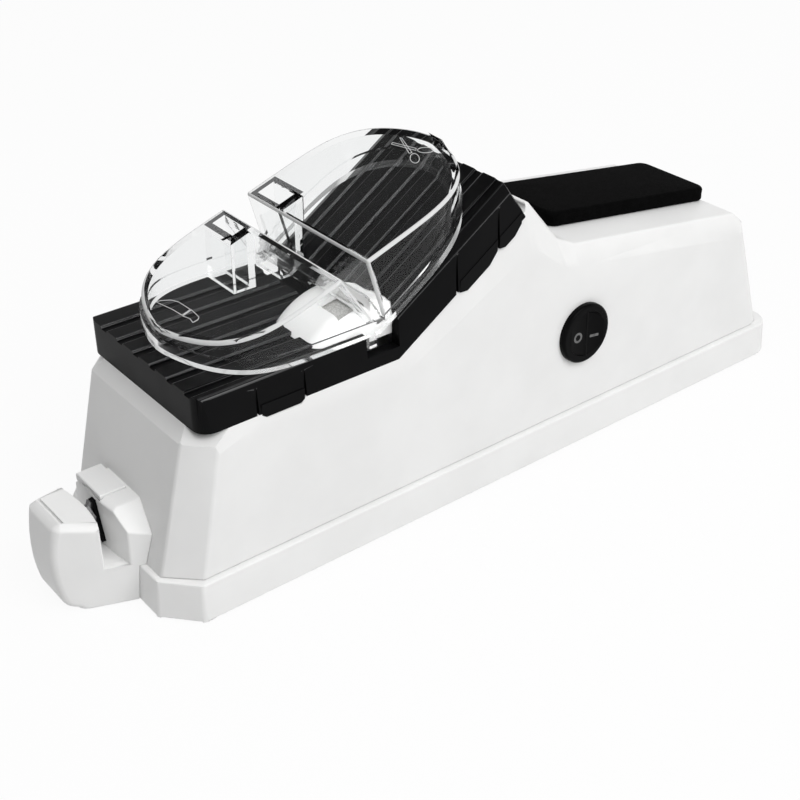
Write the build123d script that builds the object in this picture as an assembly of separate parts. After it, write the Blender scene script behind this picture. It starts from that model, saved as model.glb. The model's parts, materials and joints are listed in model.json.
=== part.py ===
from build123d import *
import math
import os

# Electric knife sharpener, millimetres, +Z up, standing on its four rubber feet.
# It is modelled in stations: x is measured back from the front edge of the base, the near side is -y.
# At the end every piece is moved by the same amount, so that the origin is under the middle of the outline.

# ---- base and housing ----
base_length = 236.0            # front edge to rear edge of the base skirt
nose_reach = 19.0              # how far the hand sharpener stands ahead of the base
base_half_width = 33.3         # at the underside
foot_gap = 0.6                 # underside of the base above the table
skirt_top = 11.6               # top of the base skirt, where the housing sits
skirt_draft = 5.3              # degrees
skirt_corner_x = 8.6           # front corner cut, along x
skirt_corner_y = 9.6           # front corner cut, along y
skirt_corner_round = 2.5
skirt_rear_round = 8.0
ledge = 1.56                   # skirt showing outside the housing at the sides
rear_ledge = 3.4
front_setback = 2.6            # housing front face behind the base edge
side_draft = 0.031             # side face, mm inwards for each mm up
front_lean = 0.245             # front face, mm back for each mm up
rear_lean = 0.33               # rear face, mm forward for each mm up
housing_wall = 2.2
housing_top = 52.0             # rim under the cover at the front
bevel_height = 5.5             # bevel strip along the top edge
bevel_inset = 1.3              # how far the strip leans in
front_bevel = 3.3              # 45 degree bevel over the front face
rear_bevel = 2.4
corner_cut_x = 8.1             # front corner faces of the housing
corner_cut_y = 7.9
rear_corner_round = 6.0
floor_thickness = 2.4
opening_side_margin = 3.5      # rim left round the opening under the cover
opening_front_margin = 7.0
opening_rear_margin = 9.0

# ---- top line: level front, ramp, crest, rear deck ----
cover_height = 10.0            # cover top above the housing rim
valley_station = 70.0          # where the level top meets the ramp
ramp_slope = 0.652
cover_crest_station = 114.5    # upper rear edge of the cover
cover_rear_station = 121.5     # lower rear edge of the cover
ramp_foot_station = 76.0       # where the cover's lower edge starts to rise
bevel_ramp_slope = 0.5475
bevel_foot_station = 79.0
crest_end_station = 123.5
crest_rise = 1.8               # crest above the cover's lower rear edge
crest_bevel_low = 70.0
crest_half_width = 25.2
hollow_end_station = 135.6     # end of the hollow between crest and deck
hollow_top = 68.6
hollow_bevel_low = 60.0
deck_station = 142.0
deck_height = 65.3
deck_slope = -0.149
deck_bevel_slope = -0.166
deck_half_width = 26.2

# ---- ribbed cover ----
cover_wall = 2.0
cover_side_draft = 1.1         # over its height
cover_edge_bevel = 0.6
cover_front_round = 4.5
cover_rear_cut_x = 1.8
cover_rear_cut_y = 1.8
edge_fall_width = 3.1          # sloping strip along the ramp's edges and over the crest
edge_fall_depth = 2.4
rib_pitch = 8.3
rib_near_y = -22.75            # groove nearest the switch side
rib_grooves = 6
rib_groove = 2.5
rib_depth = 0.8
rib_lip = 0.35                 # shallow step along both edges of a groove
rib_lip_depth = 0.3
tab_length = 13.0
tab_drop = 2.6
tab_thickness = 1.1
front_tab_station = 39.0
rear_tab_station = 103.5
corner_skirt_station = 114.5   # lower part of the side walls at the rear corners
corner_skirt_length = 8.0
corner_skirt_drop = 2.3
tab_slit = 0.7
tab_slit_depth = 0.9
tab_slit_margin = 2.6          # slit ends below the cover's top
tab_end_share = 0.3            # how much of the drop the tab keeps at its ends
notch_front = 65.9             # knife notch through the cover's side walls
notch_rear = 76.4
notch_above_rim = 3.6
trough_wall = 1.6
well_margin = 4.0              # wheel opening shorter than the hood at each end

# ---- wheel, hood, motor ----
wheel_station = 68.5
wheel_below_rim = 6.0          # axis below the housing's rim
wheel_radius = 20.5
wheel_width = 14.0
wheel_middle_y = -14.1
abrasive_depth = 5.0
wheel_edge = 0.6
hub_recess = 4.0               # depth of the hollow in each face of the hub
hub_rim = 2.0
hub_boss_radius = 3.5
wheel_clearance = 0.6          # wheel rim to the hood
hood_wall = 1.5
hood_near_y = -24.3
hood_far_y = -2.1
hood_edge_round = 5.0
hood_far_extra = 2.0           # its far rim is rounder than its near one
hood_flange_gap = 0.5          # flange under the cover's front, clear of the trough
hood_flange_reach = 3.0
hood_fit = 0.15
hood_foot_above_notch = 2.6
window_front = 60.6
window_rear = 66.6
window_near_y = -22.0
window_far_y = -13.0
knife_groove_half = 1.9
knife_groove_depth = 2.1
shaft_radius = 1.0
shaft_clearance = 0.05
shaft_overhang = 1.1           # shaft past the wheel's near face
shaft_short = 0.6              # shaft ends inside the motor's end cap
clip_thickness = 0.6
clip_radius = 2.8
motor_round = 20.1
motor_flats = 15.1
motor_length = 20.0
motor_cap_length = 5.0
motor_shell = 0.9
boss_radius = 3.05
boss_length = 1.5
magnet_thickness = 1.6
armature_radius = 6.2
armature_end_gap = 3.0
armature_poles = 3
armature_slot = 1.6
magnet_front_gap = 4.0
magnet_rear_gap = 2.0
magnet_half_height = 5.5
brush_space_radius = 5.0
brush_space_depth = 2.0
tag_spread = 6.0
tag_width = 2.2
tag_thickness = 0.6
tag_length = 2.0
plate_y = -2.0                 # cradle plate, wheel side
plate_thickness = 1.5
plate_half_width = 13.0
plate_above_axis = 7.4
cradle_foot = 22.0
cradle_depth = 28.0
cradle_hole_fit = 0.1
motor_screw_radius = 1.0
motor_screw_spread = 8.0
small_screw_head = 1.9
small_head_height = 0.8
cradle_screw_radius = 1.25
cradle_head_height = 1.3
cradle_screw_grip = 7.0        # length of the screw in its post
cradle_hole_extra = 1.0        # post hole deeper than the screw
driver_slot = 0.8
cradle_side_margin = 4.0
cradle_row_front = 6.5
cradle_row_back = 4.5
post_radius = 3.2

# ---- clear guard ----
guard_slope = 0.337
guard_middle = 65.4
guard_rise = 21.1              # top face above the level cover, over the middle
guard_half_length = 44.5
guard_half_width = 27.6
guard_side_power = 5.6         # near-straight sides
guard_end_power = 1.48         # narrowing to the ends
guard_flare = 0.4              # the walls spread by this much over the drop
guard_drop = 26.0
guard_wall = 1.7
guard_seat = 0.15              # gap to the cover
guard_flange = 0.8             # rim standing out all round on the cover
flange_height = 4.2
hood_clear = 0.8               # guard to hood
slot_front_top = 58.5
slot_rear_top = 66.2
slot_bottom_front = 68.4
slot_bottom_rear = 71.4
slot_bottom_rise = 3.2         # bottom of the V above the level cover
slot_wall = 1.85               # measured along x
pocket_wall = 1.7
front_pocket = (51.4, 58.9, 12.7, 26.2)
rear_pocket = (66.3, 75.0, 12.2, 26.0)
clip_half = 1.2
clip_station = 67.6
clip_above_notch = 2.7
clip_inner_y = 26.2
clip_outer_y = 27.8

# ---- hand sharpener on the nose ----
nose_tip_half = 7.6
nose_taper = 0.41
nose_top = 27.3
nose_tip_top = 28.2
nose_tip_lean = 2.0
nose_bulge_height = 13.0
nose_heel_back = 1.3
nose_heel_height = 4.0
nose_front_edge = 25.6         # top of the front block where it meets the slot
nose_edge_bevel = 1.7
nose_tip_round = 2.6
nose_root = 9.0                # rear end of the tongue behind the base edge
tongue_half = 8.0
tongue_low = 14.0
tongue_high = 22.0
nose_foot_round = 4.8
nose_foot_slope = 2.7
nose_shoulder_y = 8.5
nose_shoulder_low = 22.4
nose_slot_floor = 12.4
nose_slot_front_middle = -5.5
nose_slot_front_side = -8.9
nose_slot_rear_middle = -2.4
nose_slot_rear_side = -0.6
nose_slot_reach = 16.0
cap_front = -0.9
cap_rear = 5.6
cap_near_y = -2.3
cap_far_y = 11.0
cap_depth = 1.6
cap_proud = 0.5
cap_overhang = 0.9             # cap reaches over the slot's edge
liner_thickness = 1.6
liner_proud = 0.9              # in front of the slot's rear wall
liner_half = 1.0               # at its top
liner_foot_half = 1.5
liner_top_y = 0.6              # it leans across the slot
liner_foot_y = -1.8
liner_low = 14.2
liner_high = 25.6
blade_thickness = 1.5
blade_width = 4.0
blade_length = 11.0
blade_tilt = 21.0
blade_spread = 1.6             # feet of the two blades either side of the V
blade_forward = 0.4
blade_foot = 14.6
groove_station = -14.9         # line across the top of the front block
groove_width = 0.8
groove_depth = 1.6             # below the tip's upper edge
slot_gap_ahead = 0.8           # shoulders start this far ahead of the slot's rear wall

# ---- rear pad ----
pad_half_width = 14.2
pad_front_gap = 1.6            # behind the start of the deck
pad_rear_margin = 1.2          # ahead of the deck's rear edge
pad_thickness = 4.9
pad_corner = 2.6
pad_edge = 0.8

# ---- round rocker switch ----
switch_station = 144.0
switch_height = 37.3
bezel_radius = 9.45
bezel_proud = 1.9
bezel_edge = 0.9
collar_radius = 7.9
collar_depth = 6.0
rocker_radius = 6.9
rocker_gap = 0.12
rocker_pivot_depth = 0.8       # pivot below the bezel's face
rocker_rise = 1.3              # crown of the rocker above the pivot
rocker_tilt = 7.0              # each way from level
rocker_below = 3.6
rocker_scoop = 0.6             # hollow of the rocker's face
rocker_scoop_radius = 30.0
pin_radius = 0.8
pin_wall = 0.3                 # collar left outside the pins' holes
switch_body_depth = 9.0
switch_body_radius = 7.5
terminal_width = 3.2
terminal_thickness = 0.8
terminal_length = 5.0
terminal_spread = 4.5

# ---- battery bay, four AA cells ----
cell_radius = 7.25
cell_body = 49.5
cell_nub = 1.0
cell_nub_radius = 2.75
cell_edge = 0.6
cell_side_gap = 0.3
contact_thickness = 0.4
spring_length = 4.0
spring_wire = 0.45
spring_turns = 3.0
spring_radius = 4.0
bay_wall = 1.6
bay_rear_margin = 13.0         # bay's rear end ahead of the base's rear edge
door_thickness = 2.1
door_gap = 0.3
door_grip = 14.0
door_grooves = 5
door_groove = 1.2
cell_clear = 0.25
contact_half = 5.5

# ---- feet, bosses and screws ----
foot_radius = 6.0
foot_recess = 1.2
foot_station = 34.0
foot_y = 24.0
screw_station = 18.0
screw_rear_margin = 20.0
post_height = 4.4
recess_width = 0.7
recess_depth = 0.8
boss_bite = 0.4                # how far a screw boss sinks into the side wall
screw_radius = 1.5
screw_head_radius = 3.0
screw_head_height = 1.8
screw_head_depth = 1.4
screw_length = 22.0
boss_outer = 3.6
boss_top = 30.0

# ---- leads ----
lead_radius = 0.8
lead_bend = 3.0
lead_y = 6.0                   # where the two wires leave the bay
lead_height = 14.0
lead_run = 10.0
solder_gap = 0.1

large = 400.0
through = 1.0                  # how far a cut runs past what it opens
overlap = 0.01                 # how far two parts of one piece run into each other


# ================= shared geometry =================

def half_width_at(height, inset=0.0):
    """Half width of the housing's drafted side face at a height."""
    return housing_half_width - side_draft * (height - skirt_top) - inset


def ramp_top(station):
    """Height of the cover's top face."""
    return cover_top + max(0.0, ramp_slope * (station - valley_station))


def cover_underside(station):
    """Height of the cover's lower edge, on which the housing's rim meets it."""
    return housing_top + max(0.0, ramp_slope * (station - ramp_foot_station))


def deck_top(station):
    return deck_height + deck_slope * (station - deck_station)


def front_face(height):
    return front_setback + front_lean * (height - skirt_top)


def rear_face(height):
    return housing_rear - rear_lean * (height - skirt_top)


def guard_top(station):
    return guard_top_at_middle + guard_slope * (station - guard_middle)


def beyond(point, normal):
    """A large block on the outer side of the plane through the point."""
    block = Box(large, large, large, align=(Align.CENTER, Align.CENTER, Align.MIN))
    return Plane(origin=point, z_dir=normal) * block


def side_profile(points, low_y, high_y):
    """A prism along y from an outline in stations and heights."""
    face = make_face(Polyline(*[(x, z) for x, z in points], close=True))
    front = Plane(origin=(0, low_y, 0), x_dir=(1, 0, 0), z_dir=(0, -1, 0))
    return extrude(front * face, amount=-(high_y - low_y))


def block(x0, x1, y0, y1, z0, z1):
    """A block between two corners."""
    return Pos((x0 + x1) / 2, (y0 + y1) / 2, (z0 + z1) / 2) * Box(x1 - x0, y1 - y0, z1 - z0)


def upright(x, y, z0, z1, radius):
    """A round post, hole or pin along z."""
    return Pos(x, y, (z0 + z1) / 2) * Cylinder(radius, z1 - z0)


def across(x, z, y0, y1, radius):
    """A round bar or bore along y."""
    return Pos(x, (y0 + y1) / 2, z) * Rot(90, 0, 0) * Cylinder(radius, y1 - y0)


def solid_of(shape):
    """The one solid of a shape, and a stop if it fell apart."""
    solids = shape.solids()
    assert len(solids) == 1, f"{len(solids)} solids where one is expected"
    return solids[0]


housing_half_width = base_half_width - math.tan(math.radians(skirt_draft)) * skirt_top - ledge
housing_rear = base_length - math.tan(math.radians(skirt_draft)) * skirt_top - rear_ledge
cover_top = housing_top + cover_height
cover_front = front_face(housing_top - front_bevel) + front_bevel
cover_half_low = half_width_at(housing_top) - bevel_inset
cover_half_high = cover_half_low - cover_side_draft
plan_reach = housing_half_width + through
crest_top_of_cover = ramp_top(cover_crest_station)
crest_height = cover_underside(cover_rear_station) + crest_rise
notch_floor = housing_top + notch_above_rim
wheel_height = housing_top - wheel_below_rim
hood_foot = notch_floor + hood_foot_above_notch
plate_top = wheel_height + plate_above_axis
guard_top_at_middle = cover_top + guard_rise
slot_bottom = cover_top + slot_bottom_rise
clip_foot = notch_floor + clip_above_notch
screw_y = half_width_at(boss_top) - housing_wall - boss_outer + boss_bite
deck_rear = rear_face(deck_top(housing_rear)) - rear_bevel


# ================= housing form =================

def housing_stations():
    """Station, lower edge of the bevel strip, top, and half width of the top."""
    rim = half_width_at(housing_top) - bevel_inset
    low = housing_top - bevel_height
    rise = bevel_ramp_slope * (cover_rear_station - bevel_foot_station)
    end = housing_rear + 2 * through
    end_low = hollow_bevel_low + deck_bevel_slope * (end - hollow_end_station)
    deck_low = hollow_bevel_low + deck_bevel_slope * (deck_station - hollow_end_station)
    return [(-through, low, housing_top, rim),
            (ramp_foot_station, low, housing_top, rim),
            (cover_rear_station, low + rise, crest_height, crest_half_width + 1.0),
            (crest_end_station, crest_bevel_low, crest_height - 0.5, crest_half_width),
            (hollow_end_station, hollow_bevel_low, hollow_top, crest_half_width),
            (deck_station, deck_low, deck_height, deck_half_width),
            (end, end_low, deck_top(end), deck_half_width)]


def housing_section(station, low, top, rim, inset, bottom):
    """Six-sided cross-section: side faces, bevel strips and top."""
    side_low = half_width_at(low, inset)
    points = [(half_width_at(bottom, inset), bottom),
              (side_low, low - inset / 2),
              (rim - inset, top - inset)]
    outline = points + [(-y, z) for y, z in reversed(points)]
    face = make_face(Polyline(*outline, close=True))
    return Plane(origin=(station, 0, 0), x_dir=(0, 1, 0), z_dir=(1, 0, 0)) * face


def housing_form(inset, bottom):
    """The housing's outer form, or the space inside its walls when inset."""
    sections = [housing_section(*row, inset, bottom) for row in housing_stations()]
    form = loft(sections, ruled=True)
    level = housing_top - front_bevel
    front_point = (front_setback + inset, 0, skirt_top)
    form -= beyond(front_point, (-1, 0, front_lean))
    form -= beyond((cover_front - front_bevel + 1.4 * inset, 0, level), (-1, 0, 1))
    rear_point = (housing_rear - inset, 0, skirt_top)
    form -= beyond(rear_point, (1, 0, rear_lean))
    for side in (-1, 1):
        corner_y = half_width_at(skirt_top) - corner_cut_y
        corner = (front_setback + inset, side * corner_y, skirt_top)
        outward = Vector(-corner_cut_y, side * corner_cut_x, front_lean * corner_cut_y).normalized()
        form -= beyond(corner, outward)
        high = front_face(level) + inset
        lip = Vector(high, side * corner_y, level)
        form -= beyond(lip, (outward + Vector(0, 0, 1)).normalized())
    if inset == 0:
        upright_edges = [e for e in form.edges() if e.center().X > housing_rear - 3 * rear_corner_round
                         and abs(e.center().Y) > housing_half_width - rear_corner_round / 2
                         and abs(e.tangent_at(0.5).Z) > 0.9]
        form = fillet(upright_edges, rear_corner_round)
        edge = deck_top(housing_rear) - rear_bevel
        form -= beyond((rear_face(edge), 0, edge), (1, 0, 1))
    return form


def cover_plan(grow, half_width):
    """Plan of the cover: rounded front corners, cut rear corners."""
    rear = cover_rear_station + grow
    half = half_width + grow
    front = cover_front - grow
    points = [(front, -half), (rear - cover_rear_cut_x, -half), (rear, -half + cover_rear_cut_y),
              (rear, half - cover_rear_cut_y), (rear - cover_rear_cut_x, half), (front, half)]
    plan = make_face(Polyline(*points, close=True))
    corners = plan.vertices().group_by(Axis.X)[0]
    return fillet(corners, cover_front_round)


def cover_section(station, inset, top_inset, drop):
    """Cross-section of the cover: drafted walls between its lower edge and its top."""
    points = [(cover_half_low - inset, cover_underside(station) - drop),
              (cover_half_high - inset, ramp_top(station) - top_inset)]
    outline = points + [(-y, z) for y, z in reversed(points)]
    face = make_face(Polyline(*outline, close=True))
    return Plane(origin=(station, 0, 0), x_dir=(0, 1, 0), z_dir=(1, 0, 0)) * face


def cover_form(inset, top_inset, drop):
    """The cover's outer form, or the space under it when inset."""
    stations = [cover_front - through, valley_station, ramp_foot_station, cover_rear_station + 5 * through]
    form = loft([cover_section(x, inset, top_inset, drop) for x in stations], ruled=True)
    plan = Pos(0, 0, -large / 2) * cover_plan(-inset, cover_half_low)
    form = form & extrude(plan, amount=large)
    rear_rise = crest_top_of_cover - cover_underside(cover_rear_station)
    rear_run = cover_rear_station - cover_crest_station
    form -= beyond((cover_rear_station - inset, 0, cover_underside(cover_rear_station)), (rear_rise, 0, rear_run))
    behind_valley = block(valley_station, base_length, -large, large, 0, large)
    for side in (-1, 1):
        inner_y = side * (cover_half_high - edge_fall_width)
        fall = side * edge_fall_depth
        ramp = beyond((valley_station, inner_y, cover_top - top_inset), (-ramp_slope * edge_fall_width, fall, edge_fall_width))
        form -= ramp & behind_valley
        form -= beyond((cover_crest_station, inner_y, crest_top_of_cover - 1.5 * top_inset),
                       (rear_rise * edge_fall_width, rear_run * fall, rear_run * edge_fall_width))
    return solid_of(form)


def seat_space():
    """Everything above the housing's rim, where the cover sits."""
    rear = cover_rear_station
    high = crest_top_of_cover + cover_height
    return side_profile([(cover_front - 2 * front_bevel, housing_top), (ramp_foot_station, housing_top),
                         (rear, cover_underside(rear)), (rear, high),
                         (cover_front - 2 * front_bevel, high)], -plan_reach, plan_reach)


def tab_form(station, length, drop, y_low, y_high):
    """Tab below the cover's lower edge, between two y values."""
    start = station - length / 2
    end = station + length / 2
    points = [(start, cover_underside(start) + tab_drop),
              (start, cover_underside(start) - tab_end_share * drop),
              (start + drop, cover_underside(start + drop) - drop),
              (end - drop, cover_underside(end - drop) - drop),
              (end, cover_underside(end) - tab_end_share * drop),
              (end, cover_underside(end) + tab_drop)]
    return side_profile(points, y_low, y_high)


# station, length and drop of each tab of the cover
cover_tabs = ((front_tab_station, tab_length, tab_drop / 2), (rear_tab_station, tab_length, tab_drop),
              (corner_skirt_station, corner_skirt_length, corner_skirt_drop))


def sided(side, y_inner, y_outer):
    """Ordered y limits of something lying between two distances from the middle."""
    return (y_inner, y_outer) if side > 0 else (-y_outer, -y_inner)


def skirt_plan(inset):
    """Plan of the base: cut front corners, rounded rear corners."""
    half = base_half_width - inset
    front = inset
    rear = base_length - inset
    points = [(front, -half + skirt_corner_y), (front + skirt_corner_x, -half), (rear, -half),
              (rear, half), (front + skirt_corner_x, half), (front, half - skirt_corner_y)]
    plan = make_face(Polyline(*points, close=True))
    groups = plan.vertices().group_by(Axis.X)
    plan = fillet(groups[-1], skirt_rear_round - inset / 2)
    cut_corners = plan.vertices().group_by(Axis.X)
    return fillet(cut_corners[0] + cut_corners[1], skirt_corner_round)


def tray_form():
    plan = Pos(0, 0, foot_gap) * skirt_plan(0.0)
    return solid_of(extrude(plan, amount=skirt_top - foot_gap, taper=skirt_draft))


def hood_barrel(grow, near_y, far_y, rounding):
    """The drum-shaped space of the wheel hood, axis along y."""
    drum = across(wheel_station, wheel_height, near_y - grow, far_y + grow, hood_radius + grow)
    rims = drum.edges().filter_by(GeomType.CIRCLE).sort_by(Axis.Y)
    drum = fillet(rims[0], rounding)
    rims = drum.edges().filter_by(GeomType.CIRCLE).sort_by(Axis.Y)
    return fillet(rims[-1], rounding + hood_far_extra)


def oval(half_length, half_width, height_of):
    """Closed lens over the guard's middle, lifted to a height for each station."""
    steps = 32
    points = []
    for i in range(steps):
        turn = 2 * math.pi * i / steps
        along_x = math.cos(turn)
        share = (1 - abs(along_x) ** guard_side_power) ** (1 / guard_end_power)
        x = guard_middle + half_length * along_x
        y = half_width * math.copysign(share, math.sin(turn))
        points.append((x, y, height_of(x)))
    return make_face(Spline(*points, periodic=True))


def guard_form(inset, top_inset):
    """Flaring oval body of the guard, from its sloping top down past the cover."""
    flare = guard_flare
    top = oval(guard_half_length - inset, guard_half_width - inset, lambda x: guard_top(x) - top_inset)
    low = oval(guard_half_length - inset + flare, guard_half_width - inset + flare,
               lambda x: guard_top(x) - top_inset - guard_drop)
    return loft([top, low], ruled=True)


hood_radius = wheel_radius + wheel_clearance + hood_wall
floor_top = foot_gap + floor_thickness
tray_inner_half = housing_half_width - housing_wall
cell_height = foot_gap + door_thickness + cell_clear + cell_radius
bay_roof = cell_height + cell_radius + cell_clear
bay_half = 2 * cell_radius + 1.5 * cell_side_gap
cell_length = cell_body + cell_nub
bay_length = 2 * contact_thickness + spring_length + 2 * cell_length
bay_rear = base_length - bay_rear_margin
bay_front = bay_rear - bay_length
cell_row_y = cell_radius + cell_side_gap / 2
screw_stations = (screw_station, base_length - screw_rear_margin)
foot_stations = (foot_station, base_length - foot_station)
screw_foot = foot_gap + screw_head_depth
screw_seat = screw_foot + screw_head_height
post_top = screw_seat + post_height
cradle_spread = plate_half_width - cradle_side_margin
cradle_stations = (wheel_station - cradle_spread, wheel_station + cradle_spread)
cradle_rows = (plate_y + cradle_row_front, plate_y + cradle_depth - cradle_row_back)
motor_face = plate_y + plate_thickness
motor_end = motor_face + motor_length
nose_root_half = nose_tip_half + nose_taper * (nose_reach - nose_tip_lean)
wheel_near = wheel_middle_y - wheel_width / 2
wheel_far = wheel_middle_y + wheel_width / 2
switch_wall = half_width_at(switch_height)
rocker_pivot = bezel_proud - rocker_pivot_depth
switch_normal = Vector(0, -1, side_draft).normalized()
switch_plane = Plane(origin=(switch_station, -switch_wall, switch_height),
                     x_dir=(1, 0, 0), z_dir=switch_normal)


# ================= base =================

def base_tray():
    """Skirt, floor, battery bay, motor posts and screw posts in one moulding."""
    tray = tray_form()
    hollow = tray_hollow()
    bay_outer = block(bay_front - bay_wall, bay_rear + bay_wall, -bay_half - bay_wall, bay_half + bay_wall,
                      foot_gap, bay_roof + bay_wall)
    bay_inner = block(bay_front, bay_rear, -bay_half, bay_half, foot_gap - through, bay_roof)
    tray -= hollow
    tray += bay_outer
    tray -= bay_inner
    for x in cradle_stations:
        for y in cradle_rows:
            tray += upright(x, y, floor_top - through / 2, cradle_foot, post_radius)
            tray -= upright(x, y, cradle_foot - cradle_screw_grip - cradle_hole_extra, cradle_foot + through,
                            cradle_screw_radius)
    for x in screw_stations:
        for y in (-screw_y, screw_y):
            tray += upright(x, y, floor_top - through / 2, post_top, boss_outer)
            tray -= upright(x, y, foot_gap - through, screw_seat, screw_head_radius)
            tray -= upright(x, y, screw_seat - through, post_top + through, screw_radius)
    for x in foot_stations:
        for y in (-foot_y, foot_y):
            tray -= upright(x, y, foot_gap - through, foot_gap + foot_recess, foot_radius)
    return solid_of(tray)


def tray_hollow():
    """Space inside the skirt above the floor."""
    plan = Pos(0, 0, floor_top) * skirt_plan(base_half_width - tray_inner_half)
    return extrude(plan, amount=skirt_top)


def rubber_foot(x, y):
    foot = upright(x, y, 0.0, foot_gap + foot_recess, foot_radius)
    return chamfer(foot.edges().group_by(Axis.Z)[0], foot_gap / 2)


def housing_screws():
    """Four self-tapping screws from the underside, with cross recesses."""
    screws = []
    for x in screw_stations:
        for y in (-screw_y, screw_y):
            screw = upright(x, y, screw_foot, screw_seat, screw_head_radius)
            screw += upright(x, y, screw_seat - overlap, screw_seat + screw_length - screw_head_height, screw_radius)
            for turn in (0, 90):
                screw -= Pos(x, y, screw_foot) * Rot(0, 0, turn) * Box(screw_head_radius, recess_width, 2 * recess_depth)
            screws.append(solid_of(screw))
    return screws


# ================= housing =================

def upper_housing():
    """White shell from the skirt to the rim, ramp, crest and rear deck."""
    outer = housing_form(0.0, skirt_top)
    shell = outer - housing_form(housing_wall, skirt_top - through)
    shell -= seat_space()
    opening_half = cover_half_low - opening_side_margin
    shell -= block(cover_front + opening_front_margin, cover_rear_station - opening_rear_margin,
                   -opening_half, opening_half, housing_top - 1.5 * bevel_height, crest_height + cover_height)
    for x in screw_stations:
        for y in (-screw_y, screw_y):
            boss = upright(x, y, post_top, boss_top, boss_outer) & outer_column(x, y)
            shell += boss
            shell -= upright(x, y, post_top - through, screw_seat + screw_length, screw_radius)
    for side in (-1, 1):
        inner_y = cover_half_low - tab_thickness
        for row in cover_tabs:
            shell -= tab_form(*row, *sided(side, inner_y, plan_reach))
    shell -= switch_plane * Cylinder(collar_radius, 4 * housing_wall)
    shell -= nose_tongue()
    return solid_of(shell)


def outer_column(x, y):
    """The part of the housing's outside over a boss, so that a boss never shows through a wall."""
    inner = housing_form(housing_wall / 2, floor_top)
    reach = 2 * boss_outer
    return inner & block(x - reach, x + reach, y - reach, y + reach, 0, boss_top + through)


# ================= ribbed cover =================

def ribbed_cover():
    """Black snap-on cover: level front, ramp, grooves, knife notches and the trough across the valley."""
    form = cover_form(0.0, 0.0, 0.0)
    top_edges = [e for e in form.edges() if abs(e.center().Y) > cover_half_high - cover_edge_bevel
                 and abs(e.center().Z - ramp_top(e.center().X)) < 2 * cover_edge_bevel]
    form = chamfer(top_edges, cover_edge_bevel)
    space = cover_form(cover_wall, cover_wall, through)
    cover = form - space
    trough = block(notch_front - trough_wall, notch_rear + trough_wall, -cover_half_high, cover_half_high,
                   notch_floor - trough_wall, ramp_top(notch_rear) + cover_height)
    cover += trough & form
    cover -= block(notch_front, notch_rear, -plan_reach, plan_reach, notch_floor, crest_top_of_cover)
    cover -= hood_barrel(hood_fit, hood_near_y, hood_far_y, hood_edge_round)
    cover -= wheel_well()
    for i in range(rib_grooves):
        cover -= rib_cut(rib_near_y + i * rib_pitch, rib_groove, rib_depth)
        cover -= rib_cut(rib_near_y + i * rib_pitch, rib_groove + 2 * rib_lip, rib_lip_depth)
    for side in (-1, 1):
        inner_y = cover_half_low - tab_thickness
        for row in cover_tabs:
            cover += tab_form(*row, *sided(side, inner_y, cover_half_low))
        for station in (front_tab_station, rear_tab_station):
            for edge in (station - tab_length / 2 - 2 * tab_slit, station + tab_length / 2):
                low = cover_underside(edge) - tab_drop
                high = ramp_top(edge) - tab_slit_margin
                slit = sided(side, cover_half_low - tab_slit_depth, plan_reach)
                cover -= block(edge, edge + tab_slit, *slit, low, high)
    return solid_of(cover)


def wheel_well():
    """Open space for the wheel under the hood, down through the cover's trough."""
    half_length = hood_radius - well_margin
    return block(wheel_station - half_length, wheel_station + half_length,
                 hood_near_y + hood_edge_round, hood_far_y - hood_edge_round,
                 notch_floor - 3 * trough_wall, cover_top - cover_wall)


def rib_cut(y, width, depth):
    """One groove along the level top and the ramp."""
    rear = cover_crest_station + 6 * through
    points = [(cover_front - through, cover_top - depth), (valley_station + 0.3 * depth, cover_top - depth),
              (rear, ramp_top(rear) - depth), (rear, ramp_top(rear) + cover_height),
              (cover_front - through, ramp_top(rear) + cover_height)]
    return side_profile(points, y - width / 2, y + width / 2)


# ================= wheel and motor =================

def wheel_hood():
    """White drum-shaped hood with a square window over the rim and a groove that guides the edge."""
    outer = hood_barrel(0.0, hood_near_y, hood_far_y, hood_edge_round)
    inner = hood_barrel(-hood_wall, hood_near_y, hood_far_y, hood_edge_round - hood_wall)
    flange = block(wheel_station - hood_radius + hood_wall, notch_front - trough_wall - hood_flange_gap,
                   hood_near_y + hood_flange_gap, hood_far_y + hood_flange_reach,
                   hood_foot, cover_top - cover_wall)
    hood = (outer + flange) - inner
    hood -= block(0, base_length, -plan_reach, plan_reach, 0, hood_foot)
    hood -= block(window_front, window_rear, window_near_y, window_far_y, wheel_height, large / 4)
    crown = wheel_height + hood_radius
    middle = (slot_bottom_front + slot_bottom_rear) / 2
    hood -= side_profile([(middle, crown - knife_groove_depth),
                          (middle + 2 * knife_groove_half, crown + knife_groove_depth),
                          (middle - 2 * knife_groove_half, crown + knife_groove_depth)],
                         hood_near_y - through, hood_far_y + through)
    return solid_of(hood)


def grinding_wheel():
    rim = across(wheel_station, wheel_height, wheel_near, wheel_far, wheel_radius)
    rim = chamfer(rim.edges().filter_by(GeomType.CIRCLE), wheel_edge)
    return rim - across(wheel_station, wheel_height, wheel_near - through, wheel_far + through,
                        wheel_radius - abrasive_depth)


def wheel_hub():
    """Plastic core of the wheel: a web between rim and boss."""
    radius = wheel_radius - abrasive_depth
    hub = across(wheel_station, wheel_height, wheel_near, wheel_far, radius)
    for low, high in ((wheel_near - through, wheel_near + hub_recess), (wheel_far - hub_recess, wheel_far + through)):
        ring = across(wheel_station, wheel_height, low, high, radius - hub_rim)
        hub -= ring - across(wheel_station, wheel_height, low - through, high + through, hub_boss_radius)
    return hub - across(wheel_station, wheel_height, wheel_near - through, wheel_far + through, shaft_radius)


def wheel_clip():
    clip = across(wheel_station, wheel_height, wheel_near - clip_thickness, wheel_near, clip_radius)
    return clip - across(wheel_station, wheel_height, wheel_near - through, wheel_near + through, shaft_radius)


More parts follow.
